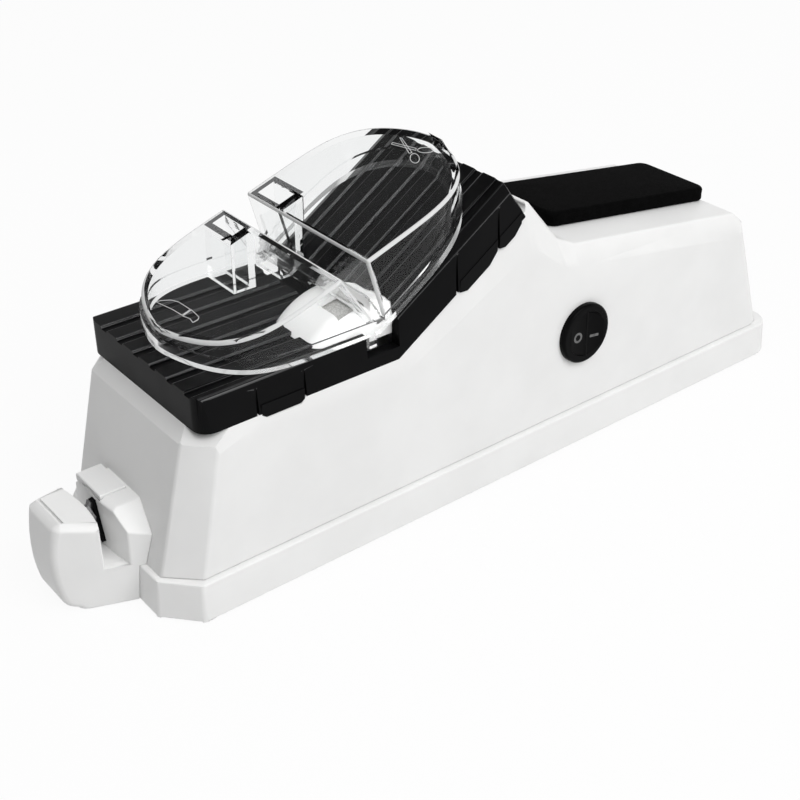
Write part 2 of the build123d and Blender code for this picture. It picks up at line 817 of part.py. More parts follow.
def motor_shaft():
    return across(wheel_station, wheel_height, wheel_near - shaft_overhang,
                  motor_end + motor_cap_length - shaft_short, shaft_radius)


def motor_armature():
    """Wound core on the shaft: three poles."""
    start = motor_face + armature_end_gap
    end = motor_end - armature_end_gap
    core = across(wheel_station, wheel_height, start, end, armature_radius)
    half = armature_slot / 2
    for i in range(armature_poles):
        turn = Pos(wheel_station, 0, wheel_height) * Rot(0, 360 / armature_poles * i, 0)
        core -= turn * block(-half, half, start - through, end + through,
                             armature_radius / 2, armature_radius + through)
    return solid_of(core - across(wheel_station, wheel_height, start - through, end + through, shaft_radius))


def motor_section(inset, y0, y1):
    """Round can with two flats."""
    bar = across(wheel_station, wheel_height, y0, y1, motor_round / 2 - inset)
    half = motor_flats / 2 - inset
    return bar & block(0, base_length, y0, y1, wheel_height - half, wheel_height + half)


def motor_can():
    can = motor_section(0.0, motor_face, motor_end)
    can -= motor_section(motor_shell, motor_face + motor_shell, motor_end + through)
    can += across(wheel_station, wheel_height, motor_face - boss_length, motor_face + motor_shell, boss_radius)
    can -= across(wheel_station, wheel_height, motor_face - 2 * boss_length, motor_end,
                  shaft_radius + shaft_clearance)
    for side in (-1, 1):
        x = wheel_station + side * motor_screw_spread
        can -= across(x, wheel_height, motor_face - through, motor_face + 2 * through, motor_screw_radius)
    return solid_of(can)


def motor_magnets():
    """Two arc magnets against the round sides of the can."""
    start = motor_face + magnet_front_gap
    end = motor_end - magnet_rear_gap
    ring = motor_section(motor_shell, start, end)
    ring -= across(wheel_station, wheel_height, start - through, end + through,
                   motor_round / 2 - motor_shell - magnet_thickness)
    ring &= block(0, base_length, start, end, wheel_height - magnet_half_height, wheel_height + magnet_half_height)
    return ring.solids()


def motor_end_cap():
    cap = motor_section(0.0, motor_end, motor_end + motor_cap_length)
    cap -= across(wheel_station, wheel_height, motor_end - through, motor_end + brush_space_depth,
                  brush_space_radius)
    cap = chamfer(cap.edges().group_by(Axis.Y)[-1], motor_shell / 2)
    return solid_of(cap - across(wheel_station, wheel_height, motor_end - through,
                                 motor_end + motor_cap_length + through, shaft_radius + shaft_clearance))


def motor_terminals():
    """Two solder tags on the end cap."""
    start = motor_end + motor_cap_length
    middles = [wheel_station + side * tag_spread for side in (-1, 1)]
    return [block(x - tag_width / 2, x + tag_width / 2, start, start + tag_length,
                  wheel_height - tag_thickness / 2, wheel_height + tag_thickness / 2) for x in middles]


def motor_cradle():
    """Bent steel plate: upright face for the motor, foot on the four posts."""
    left = wheel_station - plate_half_width
    right = wheel_station + plate_half_width
    plate = block(left, right, plate_y, motor_face, cradle_foot, plate_top)
    plate += block(left, right, plate_y, plate_y + cradle_depth, cradle_foot, cradle_foot + plate_thickness)
    plate -= across(wheel_station, wheel_height, plate_y - through, motor_face + through,
                    boss_radius + cradle_hole_fit)
    for side in (-1, 1):
        x = wheel_station + side * motor_screw_spread
        plate -= across(x, wheel_height, plate_y - through, motor_face + through, motor_screw_radius)
    for x in cradle_stations:
        for y in cradle_rows:
            plate -= upright(x, y, cradle_foot - through, cradle_foot + 3 * through, cradle_screw_radius)
    return solid_of(plate)


def motor_screws():
    """Two small screws through the cradle into the can's face."""
    screws = []
    for side in (-1, 1):
        x = wheel_station + side * motor_screw_spread
        screw = across(x, wheel_height, plate_y - small_head_height, plate_y, small_screw_head)
        screw += across(x, wheel_height, plate_y - overlap, motor_face + motor_shell, motor_screw_radius)
        screws.append(solid_of(screw))
    return screws


def cradle_screws():
    """Four screws through the cradle's foot into the posts."""
    low = cradle_foot + plate_thickness
    top = low + cradle_head_height
    screws = []
    for x in cradle_stations:
        for y in cradle_rows:
            screw = upright(x, y, low, top, 2 * cradle_screw_radius)
            screw += upright(x, y, cradle_foot - cradle_screw_grip, low + overlap, cradle_screw_radius)
            screws.append(solid_of(screw - Pos(x, y, top) * Box(driver_slot, 3 * cradle_screw_radius, driver_slot)))
    return screws


# ================= clear guard =================

def slot_profile(grow, top):
    """V between the two blade rests: the front one leans, the rear one is nearly upright."""
    return [(slot_front_top - grow, guard_top(slot_front_top)), (slot_bottom_front - grow, slot_bottom),
            (slot_bottom_rear + grow, slot_bottom), (slot_rear_top + grow, guard_top(slot_rear_top)),
            (slot_rear_top + grow, top), (slot_front_top - grow, top)]


def pocket_form(limits, inset, low):
    front, rear, near, far = limits
    top = guard_top(rear) + cover_height
    return block(front + inset, rear - inset, near + inset, far - inset, low, top)


def blade_guard():
    """Clear oval tub with a closed top, a V slot across it, two square pockets and two side clips."""
    top_limit = guard_top(guard_middle + guard_half_length) + cover_height
    outer = guard_form(0.0, 0.0)
    flange_plan = oval(guard_half_length + guard_flange, guard_half_width + guard_flange, lambda x: 0.0)
    flange_high = [(0, cover_top + flange_height), (valley_station, cover_top + flange_height),
                   (base_length, ramp_top(base_length) + flange_height), (base_length, 0), (0, 0)]
    flange = extrude(flange_plan, amount=top_limit) & side_profile(flange_high, -plan_reach, plan_reach)
    body = (outer + flange) - guard_form(guard_wall, guard_wall)
    rests = side_profile(slot_profile(slot_wall, top_limit), -plan_reach, plan_reach) & outer
    tubes = pocket_form(front_pocket, 0.0, cover_top) + pocket_form(rear_pocket, 0.0, cover_top)
    body += rests
    body += tubes & outer
    body -= side_profile(slot_profile(0.0, top_limit), -plan_reach, plan_reach)
    body -= pocket_form(front_pocket, pocket_wall, cover_top) - rests
    body -= pocket_form(rear_pocket, pocket_wall, cover_top) - rests
    body -= hood_barrel(hood_clear, hood_near_y, hood_far_y, hood_edge_round)
    under = [(0, 0), (0, cover_top + guard_seat), (valley_station, cover_top + guard_seat),
             (base_length, ramp_top(base_length) + guard_seat), (base_length, 0)]
    body -= side_profile(under, -plan_reach, plan_reach)
    for side in (-1, 1):
        limits = sided(side, clip_inner_y, clip_outer_y)
        body += block(clip_station - clip_half, clip_station + clip_half, *limits,
                      clip_foot, cover_top + flange_height - clip_half / 2)
    return solid_of(body)


# ================= hand sharpener on the nose =================

def nose_profile():
    """Side outline of the nose: leaning tip with a bulging, rounded foot."""
    tip = -nose_reach
    upper = tip + nose_tip_lean
    heel = (tip + nose_heel_back, nose_heel_height)
    foot = (tip + nose_foot_round, foot_gap)
    face = [Line((nose_root, foot_gap), (nose_root, nose_top)),
            Line((nose_root, nose_top), (nose_slot_rear_side, nose_top)),
            Line((nose_slot_rear_side, nose_top), (nose_slot_front_middle, nose_front_edge)),
            Line((nose_slot_front_middle, nose_front_edge), (upper, nose_tip_top)),
            ThreePointArc((upper, nose_tip_top), (tip, nose_bulge_height), heel),
            ThreePointArc(heel, (tip + nose_foot_slope, (nose_heel_height + foot_gap) / 2 - foot_gap), foot),
            Line(foot, (nose_root, foot_gap))]
    return make_face(face)


def nose_body():
    """Wedge-shaped block tapering towards its tip, cut to the housing and skirt behind it."""
    reach = base_half_width
    plane = Plane(origin=(0, reach, 0), x_dir=(1, 0, 0), z_dir=(0, -1, 0))
    body = extrude(plane * nose_profile(), amount=2 * reach)
    for side in (-1, 1):
        body -= beyond((0, side * nose_root_half, 0), (-nose_taper, side, 0))
    return body


def nose_tongue():
    """Tongue through the housing's front wall that carries the nose."""
    return block(0, nose_root, -tongue_half, tongue_half, tongue_low, tongue_high)


def nose_slot():
    """Hourglass slot across the nose: narrow in the middle, flared to both sides."""
    reach = nose_slot_reach
    front = ThreePointArc((nose_slot_front_side, reach), (nose_slot_front_middle, 0), (nose_slot_front_side, -reach))
    rear = ThreePointArc((nose_slot_rear_side, -reach), (nose_slot_rear_middle, 0), (nose_slot_rear_side, reach))
    near = Line((nose_slot_front_side, -reach), (nose_slot_rear_side, -reach))
    far = Line((nose_slot_rear_side, reach), (nose_slot_front_side, reach))
    plan = make_face([front, near, rear, far])
    return extrude(Pos(0, 0, nose_slot_floor) * plan, amount=nose_tip_top)


def nose_block():
    """White nose: front block, slot, rear block with sloping shoulders."""
    body = nose_body()
    tip_edges = [e for e in body.edges() if e.center().X < nose_tip_lean - nose_reach + through
                 and abs(e.center().Y) > 0.75 * nose_tip_half and abs(e.tangent_at(0.5).Y) < 0.6]
    body = fillet(tip_edges, nose_tip_round)
    top_edges = [e for e in body.edges() if nose_front_edge < e.center().Z < nose_tip_top + through
                 and e.center().X < nose_slot_front_middle]
    body = chamfer(top_edges, nose_edge_bevel)
    for side in (-1, 1):
        run = nose_root_half - nose_shoulder_y
        rise = nose_top - nose_shoulder_low
        shoulder = beyond((0, side * nose_shoulder_y, nose_top), (0, side * rise, run))
        behind_slot = block(nose_slot_rear_middle - slot_gap_ahead, nose_root + through, -large, large, 0, large)
        body -= shoulder & behind_slot
    body -= nose_slot()
    body -= nose_cap_seat()
    groove_half = nose_tip_half - through
    body -= block(groove_station, groove_station + groove_width, -groove_half, groove_half,
                  nose_tip_top - groove_depth, nose_tip_top + through)
    body -= housing_form(0.0, skirt_top - through)
    body -= tray_form()
    body += nose_tongue()
    for blade in carbide_blades():
        body -= blade
    body -= slot_liner()
    return solid_of(body)


def nose_cap_seat():
    return block(cap_front - through, cap_rear, cap_near_y, cap_far_y, nose_top - cap_depth, nose_top + through)


def nose_cap():
    """Flat insert on the rear block that closes the blade holder."""
    cap = block(cap_front - cap_overhang, cap_rear, cap_near_y, cap_far_y,
                nose_top - cap_depth, nose_top + cap_proud)
    cap -= housing_form(0.0, skirt_top)
    return solid_of(chamfer(cap.edges().group_by(Axis.Z)[-1], cap_proud / 2))


def slot_liner():
    """Black strip down the rear wall of the slot, behind the blades."""
    face = make_face(Polyline((liner_foot_y - liner_foot_half, liner_low), (liner_foot_y + liner_foot_half, liner_low),
                              (liner_top_y + liner_half, liner_high), (liner_top_y - liner_half, liner_high),
                              close=True))
    plane = Plane(origin=(nose_slot_rear_middle - liner_proud, 0, 0), x_dir=(0, 1, 0), z_dir=(1, 0, 0))
    return extrude(plane * face, amount=liner_thickness)


def carbide_blades():
    """Two hard-metal blades crossing in a V, one behind the other along y."""
    middle = (nose_slot_front_middle + nose_slot_rear_middle) / 2 - blade_forward
    blades = []
    for side in (-1, 1):
        blade = Box(blade_width, blade_thickness, blade_length, align=(Align.CENTER, Align.CENTER, Align.MIN))
        foot = Pos(middle - side * blade_spread, side * blade_thickness / 2, blade_foot)
        blades.append(foot * Rot(0, side * blade_tilt, 0) * blade)
    return blades


# ================= rear pad =================

def rear_pad():
    """Soft block on the deck for the hand that steadies the sharpener."""
    front = deck_station + pad_front_gap
    rear = deck_rear - pad_rear_margin
    outline = [(front, deck_top(front)), (rear, deck_top(rear)),
               (rear, deck_top(rear) + pad_thickness), (front, deck_top(front) + pad_thickness)]
    pad = side_profile(outline, -pad_half_width, pad_half_width)
    pad = fillet(pad.edges().filter_by(Axis.Z), pad_corner)
    top_edges = [e for e in pad.edges()
                 if e.center().Z > deck_top(e.center().X) + 0.9 * pad_thickness]
    return solid_of(fillet(top_edges, pad_edge))


# ================= switch =================

def from_wall(shape):
    """Place a shape drawn with z outwards and y up on the near side wall."""
    return switch_plane * shape


def rocker_pins(radius, reach):
    """Trunnions of the rocker, along its near-vertical axis."""
    return Pos(0, 0, rocker_pivot) * Rot(90, 0, 0) * Cylinder(radius, 2 * reach)


def switch_bezel():
    """Round black bezel with its collar through the housing wall."""
    upwards = (Align.CENTER, Align.CENTER, Align.MIN)
    flange = Cylinder(bezel_radius, bezel_proud, align=upwards)
    flange = fillet(flange.edges().group_by(Axis.Z)[-1], bezel_edge)
    ring = flange + Pos(0, 0, -collar_depth) * Cylinder(collar_radius, collar_depth + bezel_proud / 2, align=upwards)
    ring -= Cylinder(rocker_radius + rocker_gap, 4 * collar_depth)
    ring -= rocker_pins(pin_radius + shaft_clearance, collar_radius - pin_wall)
    return solid_of(from_wall(ring))


def switch_rocker():
    """Rocker cut from a ball, so it turns inside the bezel; it rests pressed down on its O side."""
    ball = Sphere(rocker_radius)
    ball &= Pos(0, 0, (rocker_rise - rocker_below) / 2) * Box(4 * rocker_radius, 4 * rocker_radius,
                                                           rocker_rise + rocker_below)
    scoop_centre = rocker_rise + rocker_scoop_radius - rocker_scoop
    ball -= Pos(0, 0, scoop_centre) * Rot(90, 0, 0) * Cylinder(rocker_scoop_radius, 4 * rocker_radius)
    ball += Rot(90, 0, 0) * Cylinder(pin_radius, 2 * (collar_radius - pin_wall - rocker_gap))
    tilted = Pos(0, 0, rocker_pivot) * Rot(0, -rocker_tilt, 0) * ball
    return solid_of(from_wall(tilted))


def switch_body():
    """Closed body behind the collar."""
    inward = (Align.CENTER, Align.CENTER, Align.MAX)
    return solid_of(from_wall(Pos(0, 0, -collar_depth) * Cylinder(switch_body_radius, switch_body_depth, align=inward)))


def switch_terminals():
    inner = -collar_depth - switch_body_depth
    return [solid_of(from_wall(Pos(side * terminal_spread, 0, inner - terminal_length / 2)
                               * Box(terminal_thickness, terminal_width, terminal_length)))
            for side in (-1, 1)]


# ================= batteries =================

def along(y, z, x0, x1, radius):
    """A round bar along x."""
    return Pos((x0 + x1) / 2, y, z) * Rot(0, 90, 0) * Cylinder(radius, x1 - x0)


def battery_cell(row, place):
    """One AA cell: the far row points its nub to the rear, the near row to the front."""
    start = bay_front + contact_thickness
    if row > 0:
        x0 = start + spring_length + place * cell_length
        body = along(row * cell_row_y, cell_height, x0, x0 + cell_body, cell_radius)
        nub = along(row * cell_row_y, cell_height, x0 + cell_body - overlap, x0 + cell_length, cell_nub_radius)
    else:
        x0 = start + place * cell_length
        body = along(row * cell_row_y, cell_height, x0 + cell_nub, x0 + cell_length, cell_radius)
        nub = along(row * cell_row_y, cell_height, x0, x0 + cell_nub + overlap, cell_nub_radius)
    body = fillet(body.edges().filter_by(GeomType.CIRCLE), cell_edge)
    return solid_of(body + nub)


def contact_plates():
    """Single plates at the front of the bay, one joining plate at the rear."""
    low = cell_height - contact_half
    high = cell_height + contact_half
    plates = [block(bay_front, bay_front + contact_thickness, row * cell_row_y - contact_half,
                    row * cell_row_y + contact_half, low, high) for row in (-1, 1)]
    plates.append(block(bay_rear - contact_thickness, bay_rear, -cell_row_y - contact_half,
                        cell_row_y + contact_half, low, high))
    return plates


def contact_springs():
    """Coil springs against the negative ends, one at each end of the bay."""
    springs = []
    run = spring_length - 2 * spring_wire
    starts = ((1, bay_front + contact_thickness + spring_wire),
              (-1, bay_rear - contact_thickness - spring_length + spring_wire))
    for row, x0 in starts:
        path = Helix(pitch=run / spring_turns, height=run, radius=spring_radius)
        section = Plane(origin=path @ 0, z_dir=path % 0) * Circle(spring_wire)
        coil = sweep(section, path=path)
        springs.append(solid_of(Pos(x0, row * cell_row_y, cell_height) * Rot(0, 90, 0) * coil))
    return springs


def battery_door():
    """Flat door in the underside with finger grooves."""
    door = block(bay_front + door_gap, bay_rear - door_gap, -bay_half + door_gap, bay_half - door_gap,
                 foot_gap, foot_gap + door_thickness)
    for i in range(door_grooves):
        x = bay_front + door_grip + 2 * door_groove * i
        door -= block(x, x + door_groove, -door_grip / 2, door_grip / 2,
                      foot_gap - through, foot_gap + door_groove / 2)
    return solid_of(door)


# ================= leads =================

def lead(points):
    """An insulated wire of straight runs joined by arcs."""
    path = FilletPolyline(*points, radius=lead_bend)
    section = Plane(origin=path @ 0, z_dir=path % 0) * Circle(lead_radius)
    return solid_of(sweep(section, path=path))


def leads():
    """Three wires: bay to switch, switch to motor, bay to motor."""
    bay_face = bay_front - bay_wall
    tip = switch_plane.from_local_coords((0, 0, -collar_depth - switch_body_depth - terminal_length))
    tip_y = tip.Y + solder_gap
    tag_y = motor_end + motor_cap_length + tag_length / 2
    tag_reach = tag_spread + tag_width / 2
    near_tag = switch_station + terminal_spread
    far_tag = switch_station - terminal_spread
    ahead = bay_face - lead_run
    beside = wheel_station + motor_round
    behind = wheel_station - motor_round + lead_radius * 5
    under = wheel_height - motor_round / 2
    battery_wire = lead([(bay_face, -lead_y, lead_height), (ahead, -lead_y, lead_height),
                         (ahead, -lead_y, 2 * lead_height), (far_tag, 2.0, tip.Z - pin_radius * 4),
                         (far_tag, tip_y, tip.Z)])
    switch_wire = lead([(near_tag, tip_y, tip.Z), (near_tag, 4.0, tip.Z),
                        (wheel_station + 2 * motor_round, tag_y - 4.0, tip.Z),
                        (beside, tag_y, wheel_height), (wheel_station + tag_reach, tag_y, wheel_height)])
    motor_wire = lead([(bay_face, lead_y, lead_height), (ahead - 4.0, lead_y, lead_height),
                       (beside + 6.0, tag_y, 2 * lead_height), (beside, tag_y, under),
                       (behind, tag_y, under), (behind, tag_y, wheel_height),
                       (wheel_station - tag_reach, tag_y, wheel_height)])
    return battery_wire, switch_wire, motor_wire


# ================= all nodes =================

def all_nodes():
    """Every sub-part by name; a list is a group of like pieces."""
    nodes = {
        "base_tray": base_tray(),
        "upper_housing": upper_housing(),
        "ribbed_cover": ribbed_cover(),
        "wheel_hood": wheel_hood(),
        "blade_guard": blade_guard(),
        "nose_block": nose_block(),
        "nose_cap": nose_cap(),
        "nose_slot_liner": solid_of(slot_liner() - combined(carbide_blades())),
        "carbide_blades": carbide_blades(),
        "rear_pad": rear_pad(),
        "switch_bezel": switch_bezel(),
        "switch_rocker": switch_rocker(),
        "switch_body": switch_body(),
        "switch_terminals": switch_terminals(),
        "grinding_wheel": grinding_wheel(),
        "wheel_hub": wheel_hub(),
        "wheel_clip": wheel_clip(),
        "motor_shaft": motor_shaft(),
        "motor_armature": motor_armature(),
        "motor_can": motor_can(),
        "motor_magnets": motor_magnets(),
        "motor_end_cap": motor_end_cap(),
        "motor_terminals": motor_terminals(),
        "motor_cradle": motor_cradle(),
        "motor_screws": motor_screws(),
        "cradle_screws": cradle_screws(),
        "housing_screws": housing_screws(),
        "contact_plates": contact_plates(),
        "contact_springs": contact_springs(),
        "battery_door": battery_door(),
    }
    for name, row, place in (("far_front", 1, 0), ("far_rear", 1, 1), ("near_front", -1, 0), ("near_rear", -1, 1)):
        nodes[f"battery_{name}"] = battery_cell(row, place)
    for end, x in zip(("front", "rear"), foot_stations):
        for side, y in (("near", -foot_y), ("far", foot_y)):
            nodes[f"foot_{end}_{side}"] = rubber_foot(x, y)
    for name, wire in zip(("battery_lead", "switch_lead", "motor_lead"), leads()):
        nodes[name] = wire
    return nodes


def combined(pieces):
    """Several pieces as one cutter."""
    result = pieces[0]
    for piece in pieces[1:]:
        result = result + piece
    return result


def write_nodes():
    """Shift every piece to the middle of the outline and write one file for each node."""
    os.makedirs("parts", exist_ok=True)
    shift = Pos((nose_reach - base_length) / 2, 0, 0)
    for name, shape in all_nodes().items():
        pieces = shape if isinstance(shape, list) else [shape]
        solids = [shift * solid for piece in pieces for solid in piece.solids()]
        export_step(solids[0] if len(solids) == 1 else Compound(children=solids), f"parts/{name}.step")


write_nodes()
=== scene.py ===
import json
import math

import bmesh
import bpy
import numpy as np
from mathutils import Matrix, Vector

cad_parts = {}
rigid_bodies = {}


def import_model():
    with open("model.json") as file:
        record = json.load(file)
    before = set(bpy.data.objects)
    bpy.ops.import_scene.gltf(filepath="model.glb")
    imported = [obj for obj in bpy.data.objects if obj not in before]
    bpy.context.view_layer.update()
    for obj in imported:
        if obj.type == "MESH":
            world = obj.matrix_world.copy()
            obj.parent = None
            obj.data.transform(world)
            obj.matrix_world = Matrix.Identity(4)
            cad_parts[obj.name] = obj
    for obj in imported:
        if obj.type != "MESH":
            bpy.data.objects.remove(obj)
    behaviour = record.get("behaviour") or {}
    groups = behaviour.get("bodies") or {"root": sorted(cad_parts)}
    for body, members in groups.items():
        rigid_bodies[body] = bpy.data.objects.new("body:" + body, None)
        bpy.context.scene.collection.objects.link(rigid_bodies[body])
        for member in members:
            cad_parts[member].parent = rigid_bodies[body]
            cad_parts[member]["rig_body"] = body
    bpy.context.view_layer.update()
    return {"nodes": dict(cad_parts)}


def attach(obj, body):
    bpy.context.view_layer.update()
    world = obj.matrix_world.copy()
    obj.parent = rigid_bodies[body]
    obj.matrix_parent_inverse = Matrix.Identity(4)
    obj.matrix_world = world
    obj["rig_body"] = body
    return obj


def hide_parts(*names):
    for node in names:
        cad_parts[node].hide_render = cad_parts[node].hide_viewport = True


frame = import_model()
scene = bpy.context.scene
cad = frame["nodes"]


# ---- White mouldings: housing, base skirt, wheel hood, nose and its cap ----
# ABS, injection moulded with a fine satin texture. The shell clips over the skirt; every outer edge
# is rounded by a few tenths of a millimetre, as the tool leaves it.
white_tone = (0.845, 0.845, 0.84)
white_shade = (0.815, 0.815, 0.81)
housing_rounding = 0.0007
skirt_rounding = 0.0005
nose_rounding = 0.0004
rim_under_cover = 0.022        # depth below the cover's top that the cover's skirt and tabs hide
cover_level = 0.062            # height of the cover's level front
cover_rear = 0.012
ramp_start = -0.0385
ramp_slope = 0.652


def plain_shader(name, colour, roughness, specular=0.5, **sockets):
    """A new material and its Principled shader with the values that are the same all over."""
    material = bpy.data.materials.new(name)
    material.use_nodes = True
    shader = material.node_tree.nodes["Principled BSDF"]
    shader.inputs["Base Color"].default_value = (*colour, 1)
    shader.inputs["Roughness"].default_value = roughness
    shader.inputs["Specular IOR Level"].default_value = specular
    for socket, value in sockets.items():
        shader.inputs[socket.replace("_", " ")].default_value = value
    return material, shader


def add_node(material, kind, inputs=(), **settings):
    """A shader node; each input is a value or the output of another node."""
    tree = material.node_tree
    made = tree.nodes.new("ShaderNode" + kind)
    for key, value in settings.items():
        setattr(made, key, value)
    for socket, value in dict(inputs).items():
        if isinstance(value, bpy.types.NodeSocket):
            tree.links.new(value, made.inputs[socket])
        else:
            made.inputs[socket].default_value = value
    return made


def object_noise(material, scale, detail=3.0, stretch=(1, 1, 1)):
    """Noise on Object coordinates, stretched along the axes, from 0 to 1."""
    place = add_node(material, "TexCoord").outputs["Object"]
    mapped = add_node(material, "Mapping", {"Vector": place, "Scale": stretch}).outputs["Vector"]
    noise = add_node(material, "TexNoise", {"Vector": mapped, "Scale": scale, "Detail": detail})
    return noise.outputs["Fac"]


def tint(material, factor, low, high, near=0.35, far=0.65):
    """Colour between two tones by a factor."""
    ramp = add_node(material, "ValToRGB", {"Fac": factor})
    ramp.color_ramp.elements[0].position = near
    ramp.color_ramp.elements[1].position = far
    ramp.color_ramp.elements[0].color = (*low, 1)
    ramp.color_ramp.elements[1].color = (*high, 1)
    return ramp.outputs["Color"]


def between(material, factor, low, high):
    """A number between two values by a factor."""
    return add_node(material, "MapRange", {"Value": factor, "From Min": 0.3, "From Max": 0.7,
                                           "To Min": low, "To Max": high}).outputs["Result"]


def moulded(name, high, low, roughness, specular, grain=2600.0, depth=0.00002, drift=55.0):
    """Moulded plastic: tone and gloss drift over centimetres, and the surface has a fine grain."""
    material, shader = plain_shader(name, high, roughness, specular)
    tree = material.node_tree
    slow = object_noise(material, drift)
    tree.links.new(tint(material, slow, low, high), shader.inputs["Base Color"])
    gloss_drift = 0.04
    gloss = between(material, slow, roughness - gloss_drift, roughness + gloss_drift)
    tree.links.new(gloss, shader.inputs["Roughness"])
    texture = object_noise(material, grain, detail=2.0)
    bump = add_node(material, "Bump", {"Height": texture, "Strength": 0.35, "Distance": depth})
    tree.links.new(bump.outputs["Normal"], shader.inputs["Normal"])
    return material


def dress(node, *materials):
    """Give a CAD node its finished materials, one for each of its slots."""
    for slot, material in zip(cad[node].material_slots, materials):
        slot.material = material


def softened(node, name, width, least_angle=25.0, shortest=0.0006, share=lambda middle, way: 1.0):
    """A copy of a moulding with its long outward edges rounded.

    The copy's triangles are merged and flat ones dissolved. An edge is rounded where its two faces meet
    outwards at more than the least angle and it is long enough, by a share of the width that follows from
    its middle and its direction. With no share it stays crisp, and with a share below zero it is only
    shaded smooth.
    """
    source = cad[node]
    mesh = source.data.copy()
    piece = bpy.data.objects.new(name, mesh)
    scene.collection.objects.link(piece)
    work = bmesh.new()
    work.from_mesh(mesh)
    same_point, flat_within = 1e-6, math.radians(0.5)
    bmesh.ops.remove_doubles(work, verts=work.verts, dist=same_point)
    bmesh.ops.dissolve_limit(work, angle_limit=flat_within, verts=work.verts, edges=work.edges)
    bmesh.ops.connect_verts_concave(work, faces=work.faces)
    weight = work.edges.layers.float.new("bevel_weight_edge")
    for edge in work.edges:
        bend = edge.calc_face_angle_signed(0) if len(edge.link_faces) == 2 else math.pi
        start, end = (vert.co for vert in edge.verts)
        part = share((start + end) / 2, (end - start).normalized())
        if bend > math.radians(least_angle) and edge.calc_length() > shortest and part > 0:
            edge[weight] = part
        elif abs(bend) > math.radians(least_angle) and part >= 0:
            edge.smooth = False
    work.to_mesh(mesh)
    work.free()
    if "custom_normal" in mesh.attributes:
        mesh.attributes.remove(mesh.attributes["custom_normal"])
    mesh.polygons.foreach_set("use_smooth", np.ones(len(mesh.polygons), bool))
    rounding = piece.modifiers.new("rounding", "BEVEL")
    rounding.width = width
    rounding.segments = 3
    rounding.limit_method = "WEIGHT"
    rounding.use_clamp_overlap = False
    rounding.miter_outer = "MITER_ARC"
    flat_faces = piece.modifiers.new("flat faces stay flat", "WEIGHTED_NORMAL")
    flat_faces.weight = 100
    flat_faces.keep_sharp = True
    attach(piece, source["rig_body"])
    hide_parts(node)
    return piece


white_plastic = moulded("white satin ABS", white_tone, white_shade, roughness=0.42, specular=0.4)


def cover_height(x):
    """Height of the cover's top: level in front, then the ramp."""
    return cover_level + max(0.0, ramp_slope * (x - ramp_start))


def housing_share(middle, way):
    """Outer edges are rounded; the rim under the cover and the hole for the nose's tongue are crisp."""
    tongue_front, tongue_reach, tongue_top = -0.1, 0.012, 0.03
    by_tongue = middle.x < tongue_front and abs(middle.y) < tongue_reach and middle.z < tongue_top
    under_cover = middle.x < cover_rear and middle.z > cover_height(middle.x) - rim_under_cover
    return 0.0 if by_tongue or under_cover else 1.0


def skirt_share(middle, way):
    """Outer edges are rounded; the holes and recesses in the underside are crisp."""
    front, rear, reach, floor_top = -0.096, 0.118, 0.0315, 0.004
    in_underside = middle.z < floor_top and abs(middle.y) < reach and front < middle.x < rear
    return 0.0 if in_underside else 1.0


def nose_share(middle, way):
    """The groove across the tip is crisp and the tip's chamfered top is only shaded smooth."""
    groove_front, groove_rear, groove_reach, groove_bottom = -0.1236, -0.1224, 0.0067, 0.0262
    tip_rear, chamfer_bottom = -0.115, 0.0258
    in_groove = groove_front < middle.x < groove_rear and abs(middle.y) < groove_reach
    if in_groove and middle.z > groove_bottom:
        return 0.0
    return -1.0 if middle.x < tip_rear and middle.z > chamfer_bottom else 1.0


housing = softened("upper_housing", "housing_shell", housing_rounding, share=housing_share)
skirt = softened("base_tray", "base_skirt", skirt_rounding, share=skirt_share)
nose = softened("nose_block", "hand_sharpener_nose", nose_rounding, share=nose_share)
for piece in (housing, skirt, nose):
    piece.data.materials.clear()
    piece.data.materials.append(white_plastic)
for node in ("wheel_hood", "nose_cap"):
    dress(node, white_plastic)


# ---- Black mouldings: ribbed cover and the strip in the nose's slot ----
# Deep black ABS, satin. The rounded edges along the ribs are glossier, and lighter in colour as a painted
# highlight. The cover snaps over the housing's rim with tabs on both sides; the strip is pressed into the
# slot that the blade is pulled through.
black_tone, black_shade = (0.0035, 0.0035, 0.0038), (0.0026, 0.0026, 0.0029)
# Painted highlight: these tones for the rib edges are lighter than the black of the cover.
rib_highlight_tone, rib_highlight_shade = (0.022, 0.022, 0.023), (0.016, 0.016, 0.017)
cover_rounding = 0.0003
black_plastic = moulded("black satin ABS", black_tone, black_shade, roughness=0.4, specular=0.06,
                        grain=2200.0, depth=0.000004)
glossy_highlight_black = moulded("glossy black edge painted highlight", rib_highlight_tone, rib_highlight_shade, roughness=0.3, specular=0.5,
                         grain=2200.0)


def cover_share(middle, way):
    """Only the top's edges along the ribs are rounded; tabs, ends and corners are crisp."""
    rib_depth = 0.0035
    lengthwise = abs(way.x) > 0.6 and abs(way.y) < 0.3
    return 1.0 if lengthwise and middle.z > cover_height(middle.x) - rib_depth else 0.0


cover = softened("ribbed_cover", "ribbed_top_cover", cover_rounding, share=cover_share)
cover.data.materials.clear()
cover.data.materials.append(black_plastic)
cover.data.materials.append(glossy_highlight_black)
# The rounded rib edges take the glossier material with its painted highlight.
cover.modifiers["rounding"].material = 1
dress("nose_slot_liner", black_plastic)


# ---- Clear guard ----
# Polycarbonate tub with a closed top, moulded in one piece. It rests on the cover and lifts off; its
# rounded edges take a whitish, barely clear material, a painted highlight.
guard_rounding = 0.0008
